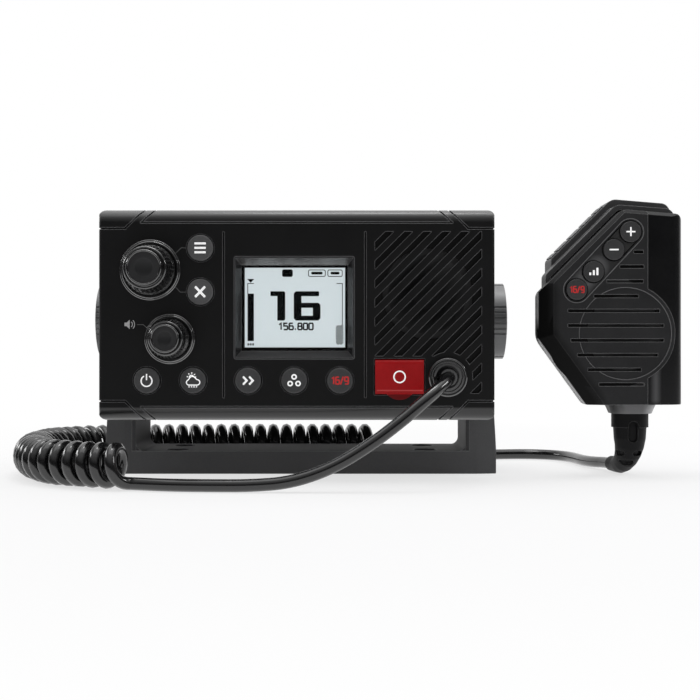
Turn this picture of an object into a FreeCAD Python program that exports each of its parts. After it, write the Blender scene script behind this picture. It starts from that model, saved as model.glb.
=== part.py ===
import FreeCAD, Part
import math
import os

# VHF marine radio on its gimbal bracket, with a fist microphone on a curly cord.
# Millimetres. +X right, +Y back, +Z up. The origin is the middle of the bracket's underside.

V = FreeCAD.Vector

# ---- clearances ----
GAP = 0.3  # between pieces that move past each other
FIT = 0.1  # between pieces that are only fitted together
RUNNING = 0.05  # radial, between a shaft and its bore
TRIM_GAP = 0.4  # around a key or a flap in its hole

# ---- radio case ----
CASE_W = 161.0
CASE_H = 86.0
CASE_DEEP = 24.0
CASE_MID_Z = 68.6
FACE_Y = -61.5
CASE_WALL = 2.5
FACE_WALL = 3.0
CASE_CORNER = 3.0  # seen from the front
EDGE_ROLL = 5.5  # long top and bottom front edges
SIDE_ROLL = 1.6  # short side front edges
SEAM_DEEP = 0.5
SEAM_WIDE = 0.7
CAP_HIGH = 7.9  # corner caps, from the top or bottom edge
CAP_LONG = 10.8  # corner caps, from the side edge
CAP_STRIP = 4.2  # strip beside a cap's slanting seam

# ---- display ----
DISPLAY_X = -1.0  # from the middle of the case
DISPLAY_Z = 2.85
DISPLAY_W = 48.9
DISPLAY_H = 41.7
SILL_SIDE = 2.6  # slanting inner faces of the frame
SILL_TOP = 3.2
WINDOW_LAP = 1.0
WINDOW_THICK = 1.2
FRAME_SINK = 0.2
FRAME_DEEP = 3.4
LCD_THICK = 2.0
LCD_MARGIN = 1.0

# ---- knobs, measured from the middle of the case ----
CHANNEL_AT = (-59.35, 18.1)
VOLUME_AT = (-51.4, -9.8)
CHANNEL_R = 10.5  # at the foot
VOLUME_R = 8.4
KNOB_TALL = 17.5  # in front of the face
VOLUME_TALL = 16.0
KNOB_CAP = 0.82  # radius of the front rim, as a share of the foot
KNOB_FACE = 0.65
KNOB_DIMPLE = 0.36
DIMPLE_DEEP = 0.6
KNOB_WALL = 2.2
RING_WIDE = 1.0
RING_TALL = 1.2
KNOB_FOOT = 1.3  # foot of the knob above the face
KNOB_TRAVEL = 0.8
FLUTES = 36
FLUTE_DEEP = 0.25
SHAFT_R = 3.0
BUSH_R = 4.4
ENCODER_SIDE = 13.0
ENCODER_DEEP = 7.9
ENCODER_FLOOR = 0.3
ENCODER_ROOF = 2.0
COLLAR_R = 4.2
COLLAR_THICK = 1.0
PLUNGER_R = 4.6
PLUNGER_THICK = 1.2

# ---- keys, measured from the middle of the case ----
KEY_R = 5.3
KEY_PROUD = 1.0
KEY_FLANGE = 0.9  # wider than the cap
KEY_FLANGE_THICK = 0.8
KEY_STEM_R = 2.0
KEY_TRAVEL = 0.8
KEYS = {
    "menu_key": (-39.1, 27.1),
    "cancel_key": (-39.1, 9.3),
    "power_key": (-60.8, -26.7),
    "weather_key": (-42.05, -26.7),
    "scan_key": (-19.7, -26.7),
    "watch_key": (-1.0, -26.7),
    "priority_key": (17.6, -26.7),
}
MAT_THICK = 1.0
MAT_MARGIN = 7.2

# ---- front board ----
BOARD_THICK = 1.6
BOARD_BACK = 11.9  # from the face to the board's front
BOARD_X = (-68.0, 29.0)
BOARD_Z = (-35.6, 35.4)
BOARD_FOOT = (53.0, -17.6)  # right edge and top of the part behind the distress button
BOSS_R = 2.2
BOARD_BOSSES = [(-29.8, 31.4), (-29.8, -16.6), (26.2, 31.4), (26.2, -16.6)]
SMALL_SCREW_R = 1.0
SMALL_HEAD_R = 2.0
SMALL_HEAD = 1.4
SMALL_SCREW = 6.0

# ---- distress flap and button ----
FLAP_X = 41.75
FLAP_W = 19.7
FLAP_Z = (-32.2, -18.2)
FLAP_PROUD = 0.8
FLAP_THICK = 1.8
FLAP_BARREL_R = 1.6
FLAP_PIN_R = 0.6
FLAP_LIP = 1.6
FLAP_TAB_W = 10.4
FLAP_TAB_DROP = 2.4
FLAP_TAB_THICK = 0.45
FLAP_PIN_SEAT = 1.0
PIT_DEEP = 2.6
PIT_FLOOR = 1.6
PIT_WALL = 1.0
SPRING_IN_R = 0.75
SPRING_R = 1.05  # between the turns
SPRING_OUT_R = 1.3
SPRING_TURNS = 6
SPRING_STEP = 0.6
SPRING_SLOT = 4.2
DISTRESS_R = 4.4
DISTRESS_DROP = 1.1  # below the middle of the flap
DISTRESS_TRAVEL = 1.5

# ---- cord gland ----
GLAND_AT = (61.3, -25.4)
GLAND_R = 7.9
GLAND_PROUD = 2.0
GLAND_DISH_R = 6.2
GLAND_DISH = 1.2
GLAND_BODY_R = 6.4
GLAND_LONG = 9.0
GLAND_SNOUT_R = 3.4
GLAND_SNOUT = 5.5
GLAND_SEAT = 3.0  # of the cord's end, in front of the face
GLAND_BORE = 1.8
NUT_R = 7.8
NUT_THICK = 3.5

# ---- loudspeaker grille, measured from the middle of the case ----
GRILLE_X = (31.8, 75.1)
GRILLE_Z = (-16.7, 33.8)
GRILLE_STRIP_X = 68.3
GRILLE_STRIP_Z = -31.9
GRILLE_PITCH = 5.45
GROOVE_WIDE = 2.4
GROOVE_DEEP = 1.6
GROOVE_AT = 34.74  # where one groove crosses the middle height of the case
SPEAKER_AT = (53.3, 8.6)
SPEAKER_R = 21.5
SPEAKER_RIM = 1.6
SPEAKER_DEEP = 15.0
SPEAKER_BASKET = 6.0  # height of the cone between rim and magnet
SPEAKER_MAGNET_R = 12.0
SPEAKER_OPEN = 18.5
DIVIDER_X = (-29.7, 27.9)
DIVIDER_Z = (-33.3, 33.4)

# ---- rear chassis ----
OVERHANG = 10.5  # the case stands past the chassis at each side
CHASSIS_BACK = 50.0
CHASSIS_Z = (-34.6, 34.6)
CHASSIS_WALL = 3.0
FLANGE_THICK = 4.0
SCREW_INSET = 5.0
SCREW_R = 1.5
SCREW_HEAD_R = 2.8
SCREW_HEAD = 2.0
SCREW_LONG = 12.0
CASE_BOSS_R = 3.6
GASKET_THICK = 1.0
GASKET_WIDE = 2.4
LEDGE = 2.0
HEAT_SINK_PLATE = 2.0
FIN_TALL = 8.0  # with the plate
FIN_THICK = 2.0
FIN_PITCH = 8.0
FIN_COUNT = 8
FIN_Z = (-24.0, 31.0)
RIVET_R = 2.0
RIVET_TALL = 0.8
RIVET_INSET = 4.0  # from the plate's ends
TOP_FIN_TALL = 2.6
TOP_FIN_COUNT = 13
TOP_FIN_START = 6.0  # behind the case
SOCKET_X = -46.0
SOCKET_Z = -6.0
SOCKET_R = 7.94
SOCKET_LONG = 13.0
SOCKET_FLANGE = 25.0
SOCKET_FLANGE_THICK = 2.5
SOCKET_BORE = 2.0
SOCKET_HOLE_R = 5.0  # in the chassis wall
POWER_GLAND_X = 46.0
POWER_GLAND_R = 8.0
POWER_GLAND_LONG = 10.0
POWER_BORE = 3.0
POWER_HOLE_R = 5.0  # in the chassis wall
MAIN_BOARD_SIDE = 8.0  # clear of the chassis walls at the sides
MAIN_BOARD_END = 3.0  # and at the ends
FILTER_CAN = ((-34.0, -8.0), (4.0, 16.0), 12.0)  # x, distance from the board's back edge, height
POWER_MODULE = ((4.0, 36.0), (8.0, 30.0), 6.0)
CAPACITORS = 3
CAPACITOR_X = -30.0
CAPACITOR_PITCH = 14.0
CAPACITOR_R = 5.0
CAPACITOR_TALL = 14.0

# ---- gimbal ----
AXIS_Z = 67.4
INSERT_R = 5.0
INSERT_LONG = 10.0
INSERT_BOSS = 2.6
STUD_R = 3.0
WASHER_THICK = 2.2
WASHER_R = 15.0
LEG_HALF = 21.5  # half the bracket's depth
LEG_TOP_R = 18.0
LEG_FOOT_THICK = 13.5
LEG_HEAD_THICK = 9.9
LEG_CHAMFER = 1.5
LEG_CREASE = 4.5
LEG_SLOPE = 1.4
PLATE_THICK = 10.0
PLATE_FILLET = 3.5
PLATE_RELIEF = 2.0
PLATE_RIM = 6.0
BASE_SCREW_X = 55.0
BASE_SCREW_Y = 12.0
BASE_HOLE_R = 2.6
BASE_SINK_R = 5.0
BASE_SINK = 4.0
GRIP_R = 17.1
GRIP_THICK = 9.2
GRIP_DOME = 0.8
GRIP_EDGE = 0.5
GRIP_CAP = 2.0  # left in front of the stud
GRIP_GROUPS = 4  # of grooves round the rim
GRIP_GROOVES = 6  # in each group
GRIP_GROOVE_PITCH = 8.0  # degrees
GRIP_GROOVE_WIDE = 4.0  # degrees
GRIP_GROOVE_DEEP = 0.8
SEAT_THICK = 9.5  # of the leg where the grip presses on it

# ---- microphone ----
MIC_FACE_Y = -46.0
MIC_FRONT_DEEP = 9.0
MIC_BAND_DEEP = 11.0
MIC_BACK_Y = -10.0
MIC_WALL = 2.2
MIC_REACH = 200.0  # a size past the whole microphone, for cutters
MIC_FRONT = [(100.5, 78.1, 4), (136.0, 113.4, 5), (161.6, 111.3, 4), (161.6, 31.4, 1), (120.4, 31.2, 3)]
MIC_FRONT += [(100.5, 58.7, 9)]
MIC_BAND = [(104.9, 86.3, 3), (134.9, 116.3, 5), (159.7, 114.4, 4), (159.7, 34.2, 2), (122.4, 34.2, 3)]
MIC_BAND += [(104.9, 60.0, 8)]
MIC_REAR = [(108.9, 93.7, 2), (135.0, 119.8, 5), (160.4, 117.7, 4), (160.4, 36.0, 2), (124.4, 36.0, 3)]
MIC_REAR += [(108.9, 62.4, 8)]
MIC_BEVEL = 6.5
MIC_BEVEL_DEEP = 4.0
MIC_LIP = 1.5
MIC_SIDE_ROUND = 6.0
COVER_WIDE = 15.2  # of the flat part of the side cover
COVER_SEAM_X = MIC_FRONT[2][0] - COVER_WIDE
COVER_ARC_R = 20.9
COVER_THICK = 1.2
DISH_AT = (137.0, 61.2)
DISH_R = 19.3
DISH_DEEP = 0.4
MIC_SLOT_TALL = 1.3
MIC_SLOT_TOP = 95.4
MIC_SLOT_PITCH = 6.17
MIC_SLOT_DEEP = 0.9
MIC_SLOTS = [(140.5, 144.5), (134.7, 144.7), (129.2, 144.5), (123.8, 142.6), (112.9, 151.4)]
MIC_SLOTS += [(112.9, 153.1), (114.2, 153.1), (116.9, 150.6), (121.3, 143.7), (125.9, 144.9)]
MIC_SPEAKER_R = 17.5
MIC_SPEAKER_RIM = 1.9
MIC_SPEAKER_DEEP = 7.9
MIC_CAN_R = 12.2
MIC_KEY_R = 4.4
MIC_KEY_AT = [(139.1, 103.8), (132.1, 96.3), (123.6, 87.1), (116.6, 79.6)]
MIC_KEY_NAMES = ["mic_up_key", "mic_down_key", "mic_power_level_key", "mic_priority_key"]
MIC_KEY_PROUD = 0.6
MIC_KEY_FLANGE = 0.55
MIC_TRAY_R = 5.4
MIC_TRAY_DEEP = 0.6
MIC_BOARD_DROP = 7.4  # behind the face
MIC_BOARD_RIGHT = 11.2  # from the shell's right edge
PTT_LONG = 31.5
PTT_START = 1.0
PTT_THICK = 6.0
PTT_PROUD = 0.5
PTT_WIDE = 13.0
PTT_TRAVEL = 2.0
PTT_STEM_R = 1.8
PTT_STEM = 5.0
PTT_GROOVES = 4
PTT_GROOVE = 1.3
PTT_GROOVE_DEEP = 0.9
PTT_GROOVE_PITCH = 7.8
MIC_NECK_AT = (142.9, -27.7)
NECK_TOP = (12.6, 7.6, 1.5)  # half sizes, and the radius of the corners
NECK_FOOT = (8.7, 8.4, 6.0)
NECK_FOOT_Z = 27.0
BOOT_R = 7.9
BOOT_STEP_R = 7.1
BOOT_STEP = 6.0
BOOT_BEND_Z = 16.1
BOOT_BEND_R = 12.4
BOOT_STATIONS = 7  # cross-sections round the bend
BOOT_BEND_START_R = 6.8
BOOT_BEND_END_R = 3.5
BOOT_END_R = 3.3
BOOT_END = (138.6, -11.0)
BOOT_SEAT = 3.6  # of the cord's end, inside the boot
BOOT_SLOT_DEEP = 1.1
BOOT_OVAL_R = 2.1
BOOT_OVAL_Z = (16.7, 21.7)  # centres of the oval slot's rounded ends
BOOT_SLOT_TALL = 2.4
BOOT_SLOTS = [(136.0, 139.9, 9.8), (143.2, 147.4, 9.8), (136.6, 144.2, 5.6)]  # left, right, height
STUD_HEAD_R = 6.5
STUD_NECK_R = 3.2
STUD_NECK = 4.0
STUD_HEAD = 2.4
STUD_AT = (132.0, 78.0)
MIC_SCREWS = [(113.0, 68.5), (156.0, 106.5), (156.0, 38.4), (123.0, 42.0)]
MIC_SCREW_R = 1.2
MIC_BOSS_R = 2.6

# ---- cord ----
CORD_R = 2.5
COIL_R = 9.0
LEAD_RADIO = [(61.3, -64.5, 43.2), (61.3, -71.5, 43.2), (59.4, -78.0, 41.8), (55.4, -83.6, 38.7),
              (49.6, -87.4, 33.9), (41.0, -89.4, 26.6), (28.8, -91.6, 17.6), (14.8, -92.8, 9.2),
              (-1.0, -93.0, 3.8), (-16.5, -92.4, 2.6), (-30.5, -92.2, 2.6), (-43.5, -91.0, 2.6),
              (-55.5, -87.6, 2.6), (-66.9, -82.75, 2.6)]
COIL = [(-66.9, -82.75, 9.0), (-81.6, -76.5, 9.0), (-96.2, -68.0, 9.0), (-107.4, -52.0, 9.0),
        (-114.7, -31.0, 9.0), (-117.7, -8.5, 9.0), (-115.4, 12.5, 9.0), (-104.4, 26.5, 9.0),
        (-86.0, 34.0, 9.0), (-60.0, 37.6, 9.0), (-27.0, 39.2, 9.0), (5.0, 38.6, 9.0), (37.0, 38.6, 9.0)]
LEAD_MIC = [(37.0, 38.6, 2.6), (55.0, 38.6, 2.6), (75.5, 43.4, 2.6), (94.5, 49.6, 2.6), (109.0, 51.6, 2.6),
            (120.2, 47.6, 2.6), (127.0, 38.6, 2.6), (129.6, 27.0, 2.6), (130.9, 15.0, 2.6),
            (133.6, 3.6, 3.0), (137.5, -6.75, 3.7), (139.47, -14.39, 3.7)]

# ---- places that several pieces share ----
FACE_BACK = FACE_Y + FACE_WALL
CASE_BACK = FACE_Y + CASE_DEEP
BOARD_Y = FACE_Y + BOARD_BACK
CHASSIS_HALF = CASE_W / 2 - OVERHANG
LEG_INNER = CHASSIS_HALF + WASHER_THICK + GAP
GRIP_X = LEG_INNER + SEAT_THICK + GAP
CAVITY_X = CASE_W / 2 - CASE_WALL
CAVITY_Z = CASE_H / 2 - CASE_WALL
FLANGE_FRONT = CASE_BACK - FLANGE_THICK
MIC_STEP_Y = MIC_FACE_Y + MIC_FRONT_DEEP
MIC_REAR_Y = MIC_STEP_Y + MIC_BAND_DEEP
BEYOND = 1.0  # how far a cutter runs past what it cuts


def block(x, y, z):
    """A box from a (low, high) pair along each axis."""
    return Part.makeBox(x[1] - x[0], y[1] - y[0], z[1] - z[0], V(x[0], y[0], z[0]))


def rod(radius, start, end):
    """A cylinder from start to end."""
    start, end = V(*start), V(*end)
    return Part.makeCylinder(radius, (end - start).Length, start, end - start)


def cone(start_radius, end_radius, start, end):
    """A cone cut off at both ends."""
    start, end = V(*start), V(*end)
    return Part.makeCone(start_radius, end_radius, (end - start).Length, start, end - start)


def post(radius, at, y):
    """A cylinder along Y at (x, z), from y[0] to y[1]."""
    return rod(radius, (at[0], y[0], at[1]), (at[0], y[1], at[1]))


def on_case(at):
    """A place measured from the middle of the case, as (x, z) in the part's frame."""
    return (at[0], at[1] + CASE_MID_Z)


def span(middle, half):
    return (middle - half, middle + half)


def outline(corners, place):
    """A closed wire through (u, v, radius) corners, each one rounded by a tangent arc."""
    points = [place(u, v) for u, v, _ in corners]
    starts, middles, ends = [], [], []
    for i, (_, _, radius) in enumerate(corners):
        here = points[i]
        into = (points[i - 1] - here).normalize()
        out = (points[(i + 1) % len(points)] - here).normalize()
        half = into.getAngle(out) / 2
        inward = (into + out).normalize()
        starts.append(here + into * (radius / math.tan(half)))
        ends.append(here + out * (radius / math.tan(half)))
        middles.append(here + inward * (radius / math.sin(half) - radius))
    edges = []
    for i, (_, _, radius) in enumerate(corners):
        following = starts[(i + 1) % len(points)]
        if radius > 0:
            edges.append(Part.Arc(starts[i], middles[i], ends[i]).toShape())
        edges.append(Part.LineSegment(ends[i], following).toShape())
    return Part.Wire(edges)


def prism(corners, place, travel):
    return Part.Face(outline(corners, place)).extrude(travel)


def slab(corners, y):
    """An outline of (x, z, radius) corners as seen from the front, from y[0] back to y[1]."""
    return prism(corners, lambda x, z: V(x, y[0], z), V(0, y[1] - y[0], 0))


def rectangle(x, z, radius):
    return [(x[0], z[0], radius), (x[1], z[0], radius), (x[1], z[1], radius), (x[0], z[1], radius)]


def capsule(radius, a, b, y):
    """A slot shape round two (x, z) centres."""
    along = (V(b[0], 0, b[1]) - V(a[0], 0, a[1])).normalize()
    side = V(-along.z, 0, along.x) * radius
    ends = [V(a[0], y[0], a[1]), V(b[0], y[0], b[1])]
    round_a = Part.Arc(ends[0] + side, ends[0] - along * radius, ends[0] - side).toShape()
    round_b = Part.Arc(ends[1] - side, ends[1] + along * radius, ends[1] + side).toShape()
    lower = Part.LineSegment(ends[0] - side, ends[1] - side).toShape()
    upper = Part.LineSegment(ends[1] + side, ends[0] + side).toShape()
    return Part.Face(Part.Wire([round_a, lower, round_b, upper])).extrude(V(0, y[1] - y[0], 0))


def grown(corners, by):
    """The same corners, moved outwards by a distance (inwards if it is negative)."""
    moved = []
    for i, (x, z, radius) in enumerate(corners):
        here = V(x, 0, z)
        into = (V(corners[i - 1][0], 0, corners[i - 1][1]) - here).normalize()
        out = V(corners[(i + 1) % len(corners)][0], 0, corners[(i + 1) % len(corners)][1]) - here
        out.normalize()
        outward = (into + out).normalize() * (by / math.sin(into.getAngle(out) / 2))
        moved.append((x - outward.x, z - outward.z, max(radius + by, 0.3)))
    return moved


def mirrored(shape):
    return shape.mirror(V(0, 0, 0), V(1, 0, 0))


def joined(shapes):
    return shapes[0].multiFuse(shapes[1:]).removeSplitter()


# ---------------------------------------------------------------- radio case


def case_form(inset, back):
    """The outer form of the case, shrunk by inset on every face but the back."""
    x = span(0, CASE_W / 2 - inset)
    z = span(CASE_MID_Z, CASE_H / 2 - inset)
    y = (FACE_Y + inset, back)
    front_view = slab(rectangle(x, z, CASE_CORNER - inset), y)
    roll = EDGE_ROLL - inset
    side_corners = [(y[0], z[0], roll), (y[1], z[0], 0), (y[1], z[1], 0), (y[0], z[1], roll)]
    side_view = prism(side_corners, lambda u, v: V(x[0], u, v), V(x[1] - x[0], 0, 0))
    roll = SIDE_ROLL - inset
    top_corners = [(x[0], y[0], roll), (x[1], y[0], roll), (x[1], y[1], 0), (x[0], y[1], 0)]
    top_view = prism(top_corners, lambda u, v: V(u, v, z[0]), V(0, 0, z[1] - z[0]))
    return front_view.common(side_view).common(top_view)


def seam(a, b):
    """A thin upright cutter along the line from a to b, (x, z) from the middle of the case."""
    a, b = on_case(a), on_case(b)
    along = (V(b[0] - a[0], 0, b[1] - a[1])).normalize()
    side = V(-along.z, 0, along.x) * (SEAM_WIDE / 2)
    a, b = V(a[0], FACE_Y - BEYOND, a[1]), V(b[0], FACE_Y - BEYOND, b[1])
    a, b = a - along * (SEAM_WIDE / 2), b + along * (SEAM_WIDE / 2)
    corners = [a + side, a - side, b - side, b + side, a + side]
    return Part.Face(Part.makePolygon(corners)).extrude(V(0, CASE_DEEP + 2 * BEYOND, 0))


def long_seam_end():
    """Where the seam along the top or bottom edge meets a cap's strip, from the middle of the case."""
    return CASE_W / 2 - CAP_LONG - CAP_STRIP - (CAP_HIGH - EDGE_ROLL)


def corner_seams(left, down):
    """The three seams of one corner cap; left and down are -1 or 1."""
    edge_x, edge_z = CASE_W / 2 + BEYOND, CASE_H / 2 + BEYOND
    cap_x, cap_z = CASE_W / 2 - CAP_LONG, CASE_H / 2 - CAP_HIGH
    strip_z = CASE_H / 2 - EDGE_ROLL
    lean = CAP_HIGH + BEYOND
    level = seam((left * edge_x, down * cap_z), (left * cap_x, down * cap_z))
    slant = seam((left * cap_x, down * cap_z), (left * (cap_x - lean), down * edge_z))
    inner_x = long_seam_end()
    inner = seam((left * inner_x, down * strip_z), (left * (inner_x - EDGE_ROLL - BEYOND), down * edge_z))
    return [level, slant, inner]


def case_seams():
    """All seams that are cut a little into the skin of the case."""
    strip_z = CASE_H / 2 - EDGE_ROLL
    reach = long_seam_end()
    cutters = [seam((-reach, z), (reach, z)) for z in (strip_z, -strip_z)]
    for left in (-1, 1):
        for down in (-1, 1):
            cutters += corner_seams(left, down)
    for x in DIVIDER_X:
        cutters.append(seam((x, DIVIDER_Z[0]), (x, DIVIDER_Z[1])))
    skin = case_form(0, CASE_BACK).cut(case_form(SEAM_DEEP, CASE_BACK))
    return skin.common(cutters[0].multiFuse(cutters[1:]))


def grille_grooves():
    """Slanting grooves of the grille, and the slots in them in front of the speaker."""
    grille_z = [z + CASE_MID_Z for z in GRILLE_Z]
    field = slab(rectangle(GRILLE_X, grille_z, 0), (FACE_Y - BEYOND, FACE_BACK + BEYOND))
    low = GRILLE_STRIP_Z + CASE_MID_Z
    strip = block((GRILLE_STRIP_X, GRILLE_X[1]), (FACE_Y - BEYOND, FACE_BACK + BEYOND), (low, CASE_MID_Z))
    field = field.fuse(strip).cut(post(GLAND_R + 2.4, on_case(GLAND_AT), (FACE_Y - 2, FACE_BACK + 2)))
    speaker = post(SPEAKER_OPEN, on_case(SPEAKER_AT), (FACE_Y - BEYOND, FACE_BACK + BEYOND))
    step = GRILLE_PITCH * math.sqrt(2)
    first = math.floor((GRILLE_X[0] - GRILLE_Z[1] - GROOVE_AT) / step)
    last = math.ceil((GRILLE_X[1] - GRILLE_STRIP_Z - GROOVE_AT) / step)
    grooves, slots = [], []
    for i in range(first, last + 1):
        for deep, found in ((GROOVE_DEEP, grooves), (FACE_WALL + BEYOND, slots)):
            bar = block((-CASE_W, CASE_W), (FACE_Y - BEYOND, FACE_Y + deep), span(0, GROOVE_WIDE / 2))
            bar.rotate(V(0, 0, 0), V(0, 1, 0), -45)
            bar.translate(V(GROOVE_AT + i * step, 0, CASE_MID_Z))
            found.append(bar)
    shallow = field.common(Part.makeCompound(grooves))
    through = field.common(speaker).common(Part.makeCompound(slots))
    return Part.makeCompound(shallow.Solids + through.Solids)


def case_bosses():
    """Screw bosses for the chassis in the four corners."""
    x, z = CAVITY_X - SCREW_INSET, CAVITY_Z - SCREW_INSET
    return [on_case((sx * x, sz * z)) for sx in (-1, 1) for sz in (-1, 1)]


def flap_pit():
    x = span(FLAP_X, FLAP_W / 2 + TRIM_GAP)
    z = (FLAP_Z[0] + CASE_MID_Z - TRIM_GAP, FLAP_Z[1] + CASE_MID_Z + TRIM_GAP)
    return x, z


def button_place():
    return FLAP_X, sum(FLAP_Z) / 2 + CASE_MID_Z - DISTRESS_DROP


def pin_line():
    """Y and Z of the flap's hinge pin."""
    return FACE_Y - FLAP_PROUD + FLAP_BARREL_R, FLAP_Z[1] + CASE_MID_Z - FLAP_BARREL_R


def knob_ring(radius):
    return radius + GAP + 0.2 + RING_WIDE


def front_case():
    body = case_form(0, CASE_BACK)
    cavity = block(span(0, CAVITY_X), (FACE_BACK, CASE_BACK + BEYOND), span(CASE_MID_Z, CAVITY_Z))
    body = body.cut(cavity)
    ledge_y = (FLANGE_FRONT - GASKET_THICK - LEDGE, FLANGE_FRONT - GASKET_THICK)
    ledge = block(span(0, CAVITY_X), ledge_y, span(CASE_MID_Z, CAVITY_Z))
    inner_x, inner_z = span(0, CAVITY_X - LEDGE), span(CASE_MID_Z, CAVITY_Z - LEDGE)
    ledge = ledge.cut(block(inner_x, span(ledge_y[0], CASE_DEEP), inner_z))
    added = [ledge]
    for at in case_bosses():
        added.append(post(CASE_BOSS_R, at, (FACE_BACK, ledge_y[1])))
    for at in BOARD_BOSSES:
        added.append(post(BOSS_R, on_case(at), (FACE_BACK, BOARD_Y)))
    for at, radius in ((CHANNEL_AT, CHANNEL_R), (VOLUME_AT, VOLUME_R)):
        added.append(post(knob_ring(radius), on_case(at), (FACE_Y - RING_TALL, FACE_Y)))
    speaker_rim = post(SPEAKER_R + RUNNING + SPEAKER_RIM, on_case(SPEAKER_AT), (FACE_BACK, FACE_BACK + 3))
    added.append(speaker_rim)
    pit_x, pit_z = flap_pit()
    floor_y = FACE_Y + PIT_DEEP
    pad_x, pad_z = (pit_x[0] - PIT_WALL, pit_x[1] + PIT_WALL), (pit_z[0] - PIT_WALL, pit_z[1] + PIT_WALL)
    added.append(block(pad_x, (FACE_BACK, floor_y + PIT_FLOOR), pad_z))
    body = body.multiFuse(added)
    cuts = [case_seams(), grille_grooves(), block(pit_x, (FACE_Y - BEYOND, floor_y), pit_z)]
    cuts.append(post(SPEAKER_R + RUNNING, on_case(SPEAKER_AT), (FACE_BACK, FACE_BACK + 4)))
    display = on_case((DISPLAY_X, DISPLAY_Z))
    opening = rectangle(span(display[0], DISPLAY_W / 2), span(display[1], DISPLAY_H / 2), 0.8)
    cuts.append(slab(opening, (FACE_Y - BEYOND, FACE_BACK + BEYOND)))
    for at, radius in ((CHANNEL_AT, CHANNEL_R), (VOLUME_AT, VOLUME_R)):
        well = knob_ring(radius) - RING_WIDE
        cuts.append(post(well, on_case(at), (FACE_Y - RING_TALL - BEYOND, FACE_Y)))
        cuts.append(post(BUSH_R + FIT, on_case(at), (FACE_Y - BEYOND, FACE_BACK + BEYOND)))
    for at in KEYS.values():
        cuts.append(post(KEY_R + TRIM_GAP, on_case(at), (FACE_Y - BEYOND, FACE_BACK + BEYOND)))
    for at in case_bosses():
        cuts.append(post(SCREW_R, at, (ledge_y[1] - SCREW_LONG, CASE_BACK)))
    for at in BOARD_BOSSES:
        cuts.append(post(SMALL_SCREW_R, on_case(at), (BOARD_Y - SMALL_SCREW, BOARD_Y)))
    cuts.append(post(GLAND_BODY_R + FIT, on_case(GLAND_AT), (FACE_Y - BEYOND, FACE_BACK + BEYOND)))
    cuts.append(post(DISTRESS_R + GAP, button_place(), (floor_y - BEYOND, floor_y + PIT_FLOOR + BEYOND)))
    pin_y, pin_z = pin_line()
    pin_ends = (pit_x[0] - FLAP_PIN_SEAT, pin_y, pin_z), (pit_x[1] + FLAP_PIN_SEAT, pin_y, pin_z)
    cuts.append(rod(FLAP_PIN_R, *pin_ends))
    for cutter in cuts:
        body = body.cut(cutter)
    return body


def display_frame():
    """A picture-frame bezel whose inner faces slope down to the window."""
    middle = on_case((DISPLAY_X, DISPLAY_Z))
    x, z = span(middle[0], DISPLAY_W / 2 - FIT), span(middle[1], DISPLAY_H / 2 - FIT)
    y = (FACE_Y + FRAME_SINK, FACE_Y + FRAME_SINK + FRAME_DEEP)
    body = slab(rectangle(x, z, 0.6), y)
    lip = 0.5

    def ring(side, top, at):
        return outline(
            rectangle((x[0] + side, x[1] - side), (z[0] + top, z[1] - top), 0), lambda u, v: V(u, at, v)
        )

    sides = [ring(lip, lip, y[0]), ring(SILL_SIDE, SILL_TOP, y[1])]
    hole = Part.makeLoft(sides, True, True)
    return body.cut(hole)


def window_box(y, grow):
    """A plate behind the display frame's opening, wider than it by grow at every side."""
    middle = on_case((DISPLAY_X, DISPLAY_Z))
    x = span(middle[0], DISPLAY_W / 2 - FIT - SILL_SIDE + grow)
    z = span(middle[1], DISPLAY_H / 2 - FIT - SILL_TOP + grow)
    return block(x, y, z)


def display_stack():
    """Window, LCD panel and the holder that clamps them to the front board."""
    y0 = FACE_Y + FRAME_SINK + FRAME_DEEP
    window = window_box((y0, y0 + WINDOW_THICK), WINDOW_LAP)
    y1 = y0 + WINDOW_THICK
    panel = window_box((y1, y1 + LCD_THICK), WINDOW_LAP - LCD_MARGIN / 2)
    outer = window_box((y1, BOARD_Y), WINDOW_LAP + LCD_MARGIN)
    seat = window_box((y1 - BEYOND, y1 + LCD_THICK), WINDOW_LAP - LCD_MARGIN / 2 + FIT)
    hollow = window_box((y1 + LCD_THICK + 1.2, BOARD_Y + BEYOND), WINDOW_LAP - LCD_MARGIN)
    return window, panel, outer.cut(seat).cut(hollow)


def key(at):
    front = FACE_Y - KEY_PROUD
    flange = (FACE_BACK + GAP, FACE_BACK + GAP + KEY_FLANGE_THICK)
    cap = post(KEY_R, at, (front, flange[0]))
    cap = cap.makeFillet(0.5, [edge for edge in cap.Edges if edge.BoundBox.YMax < front + 0.01])
    disc = post(KEY_R + KEY_FLANGE, at, flange)
    stem_end = BOARD_Y - FIT * 2 - KEY_TRAVEL
    stem = post(KEY_STEM_R, at, (flange[1], stem_end))
    return joined([cap, disc, stem])


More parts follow.
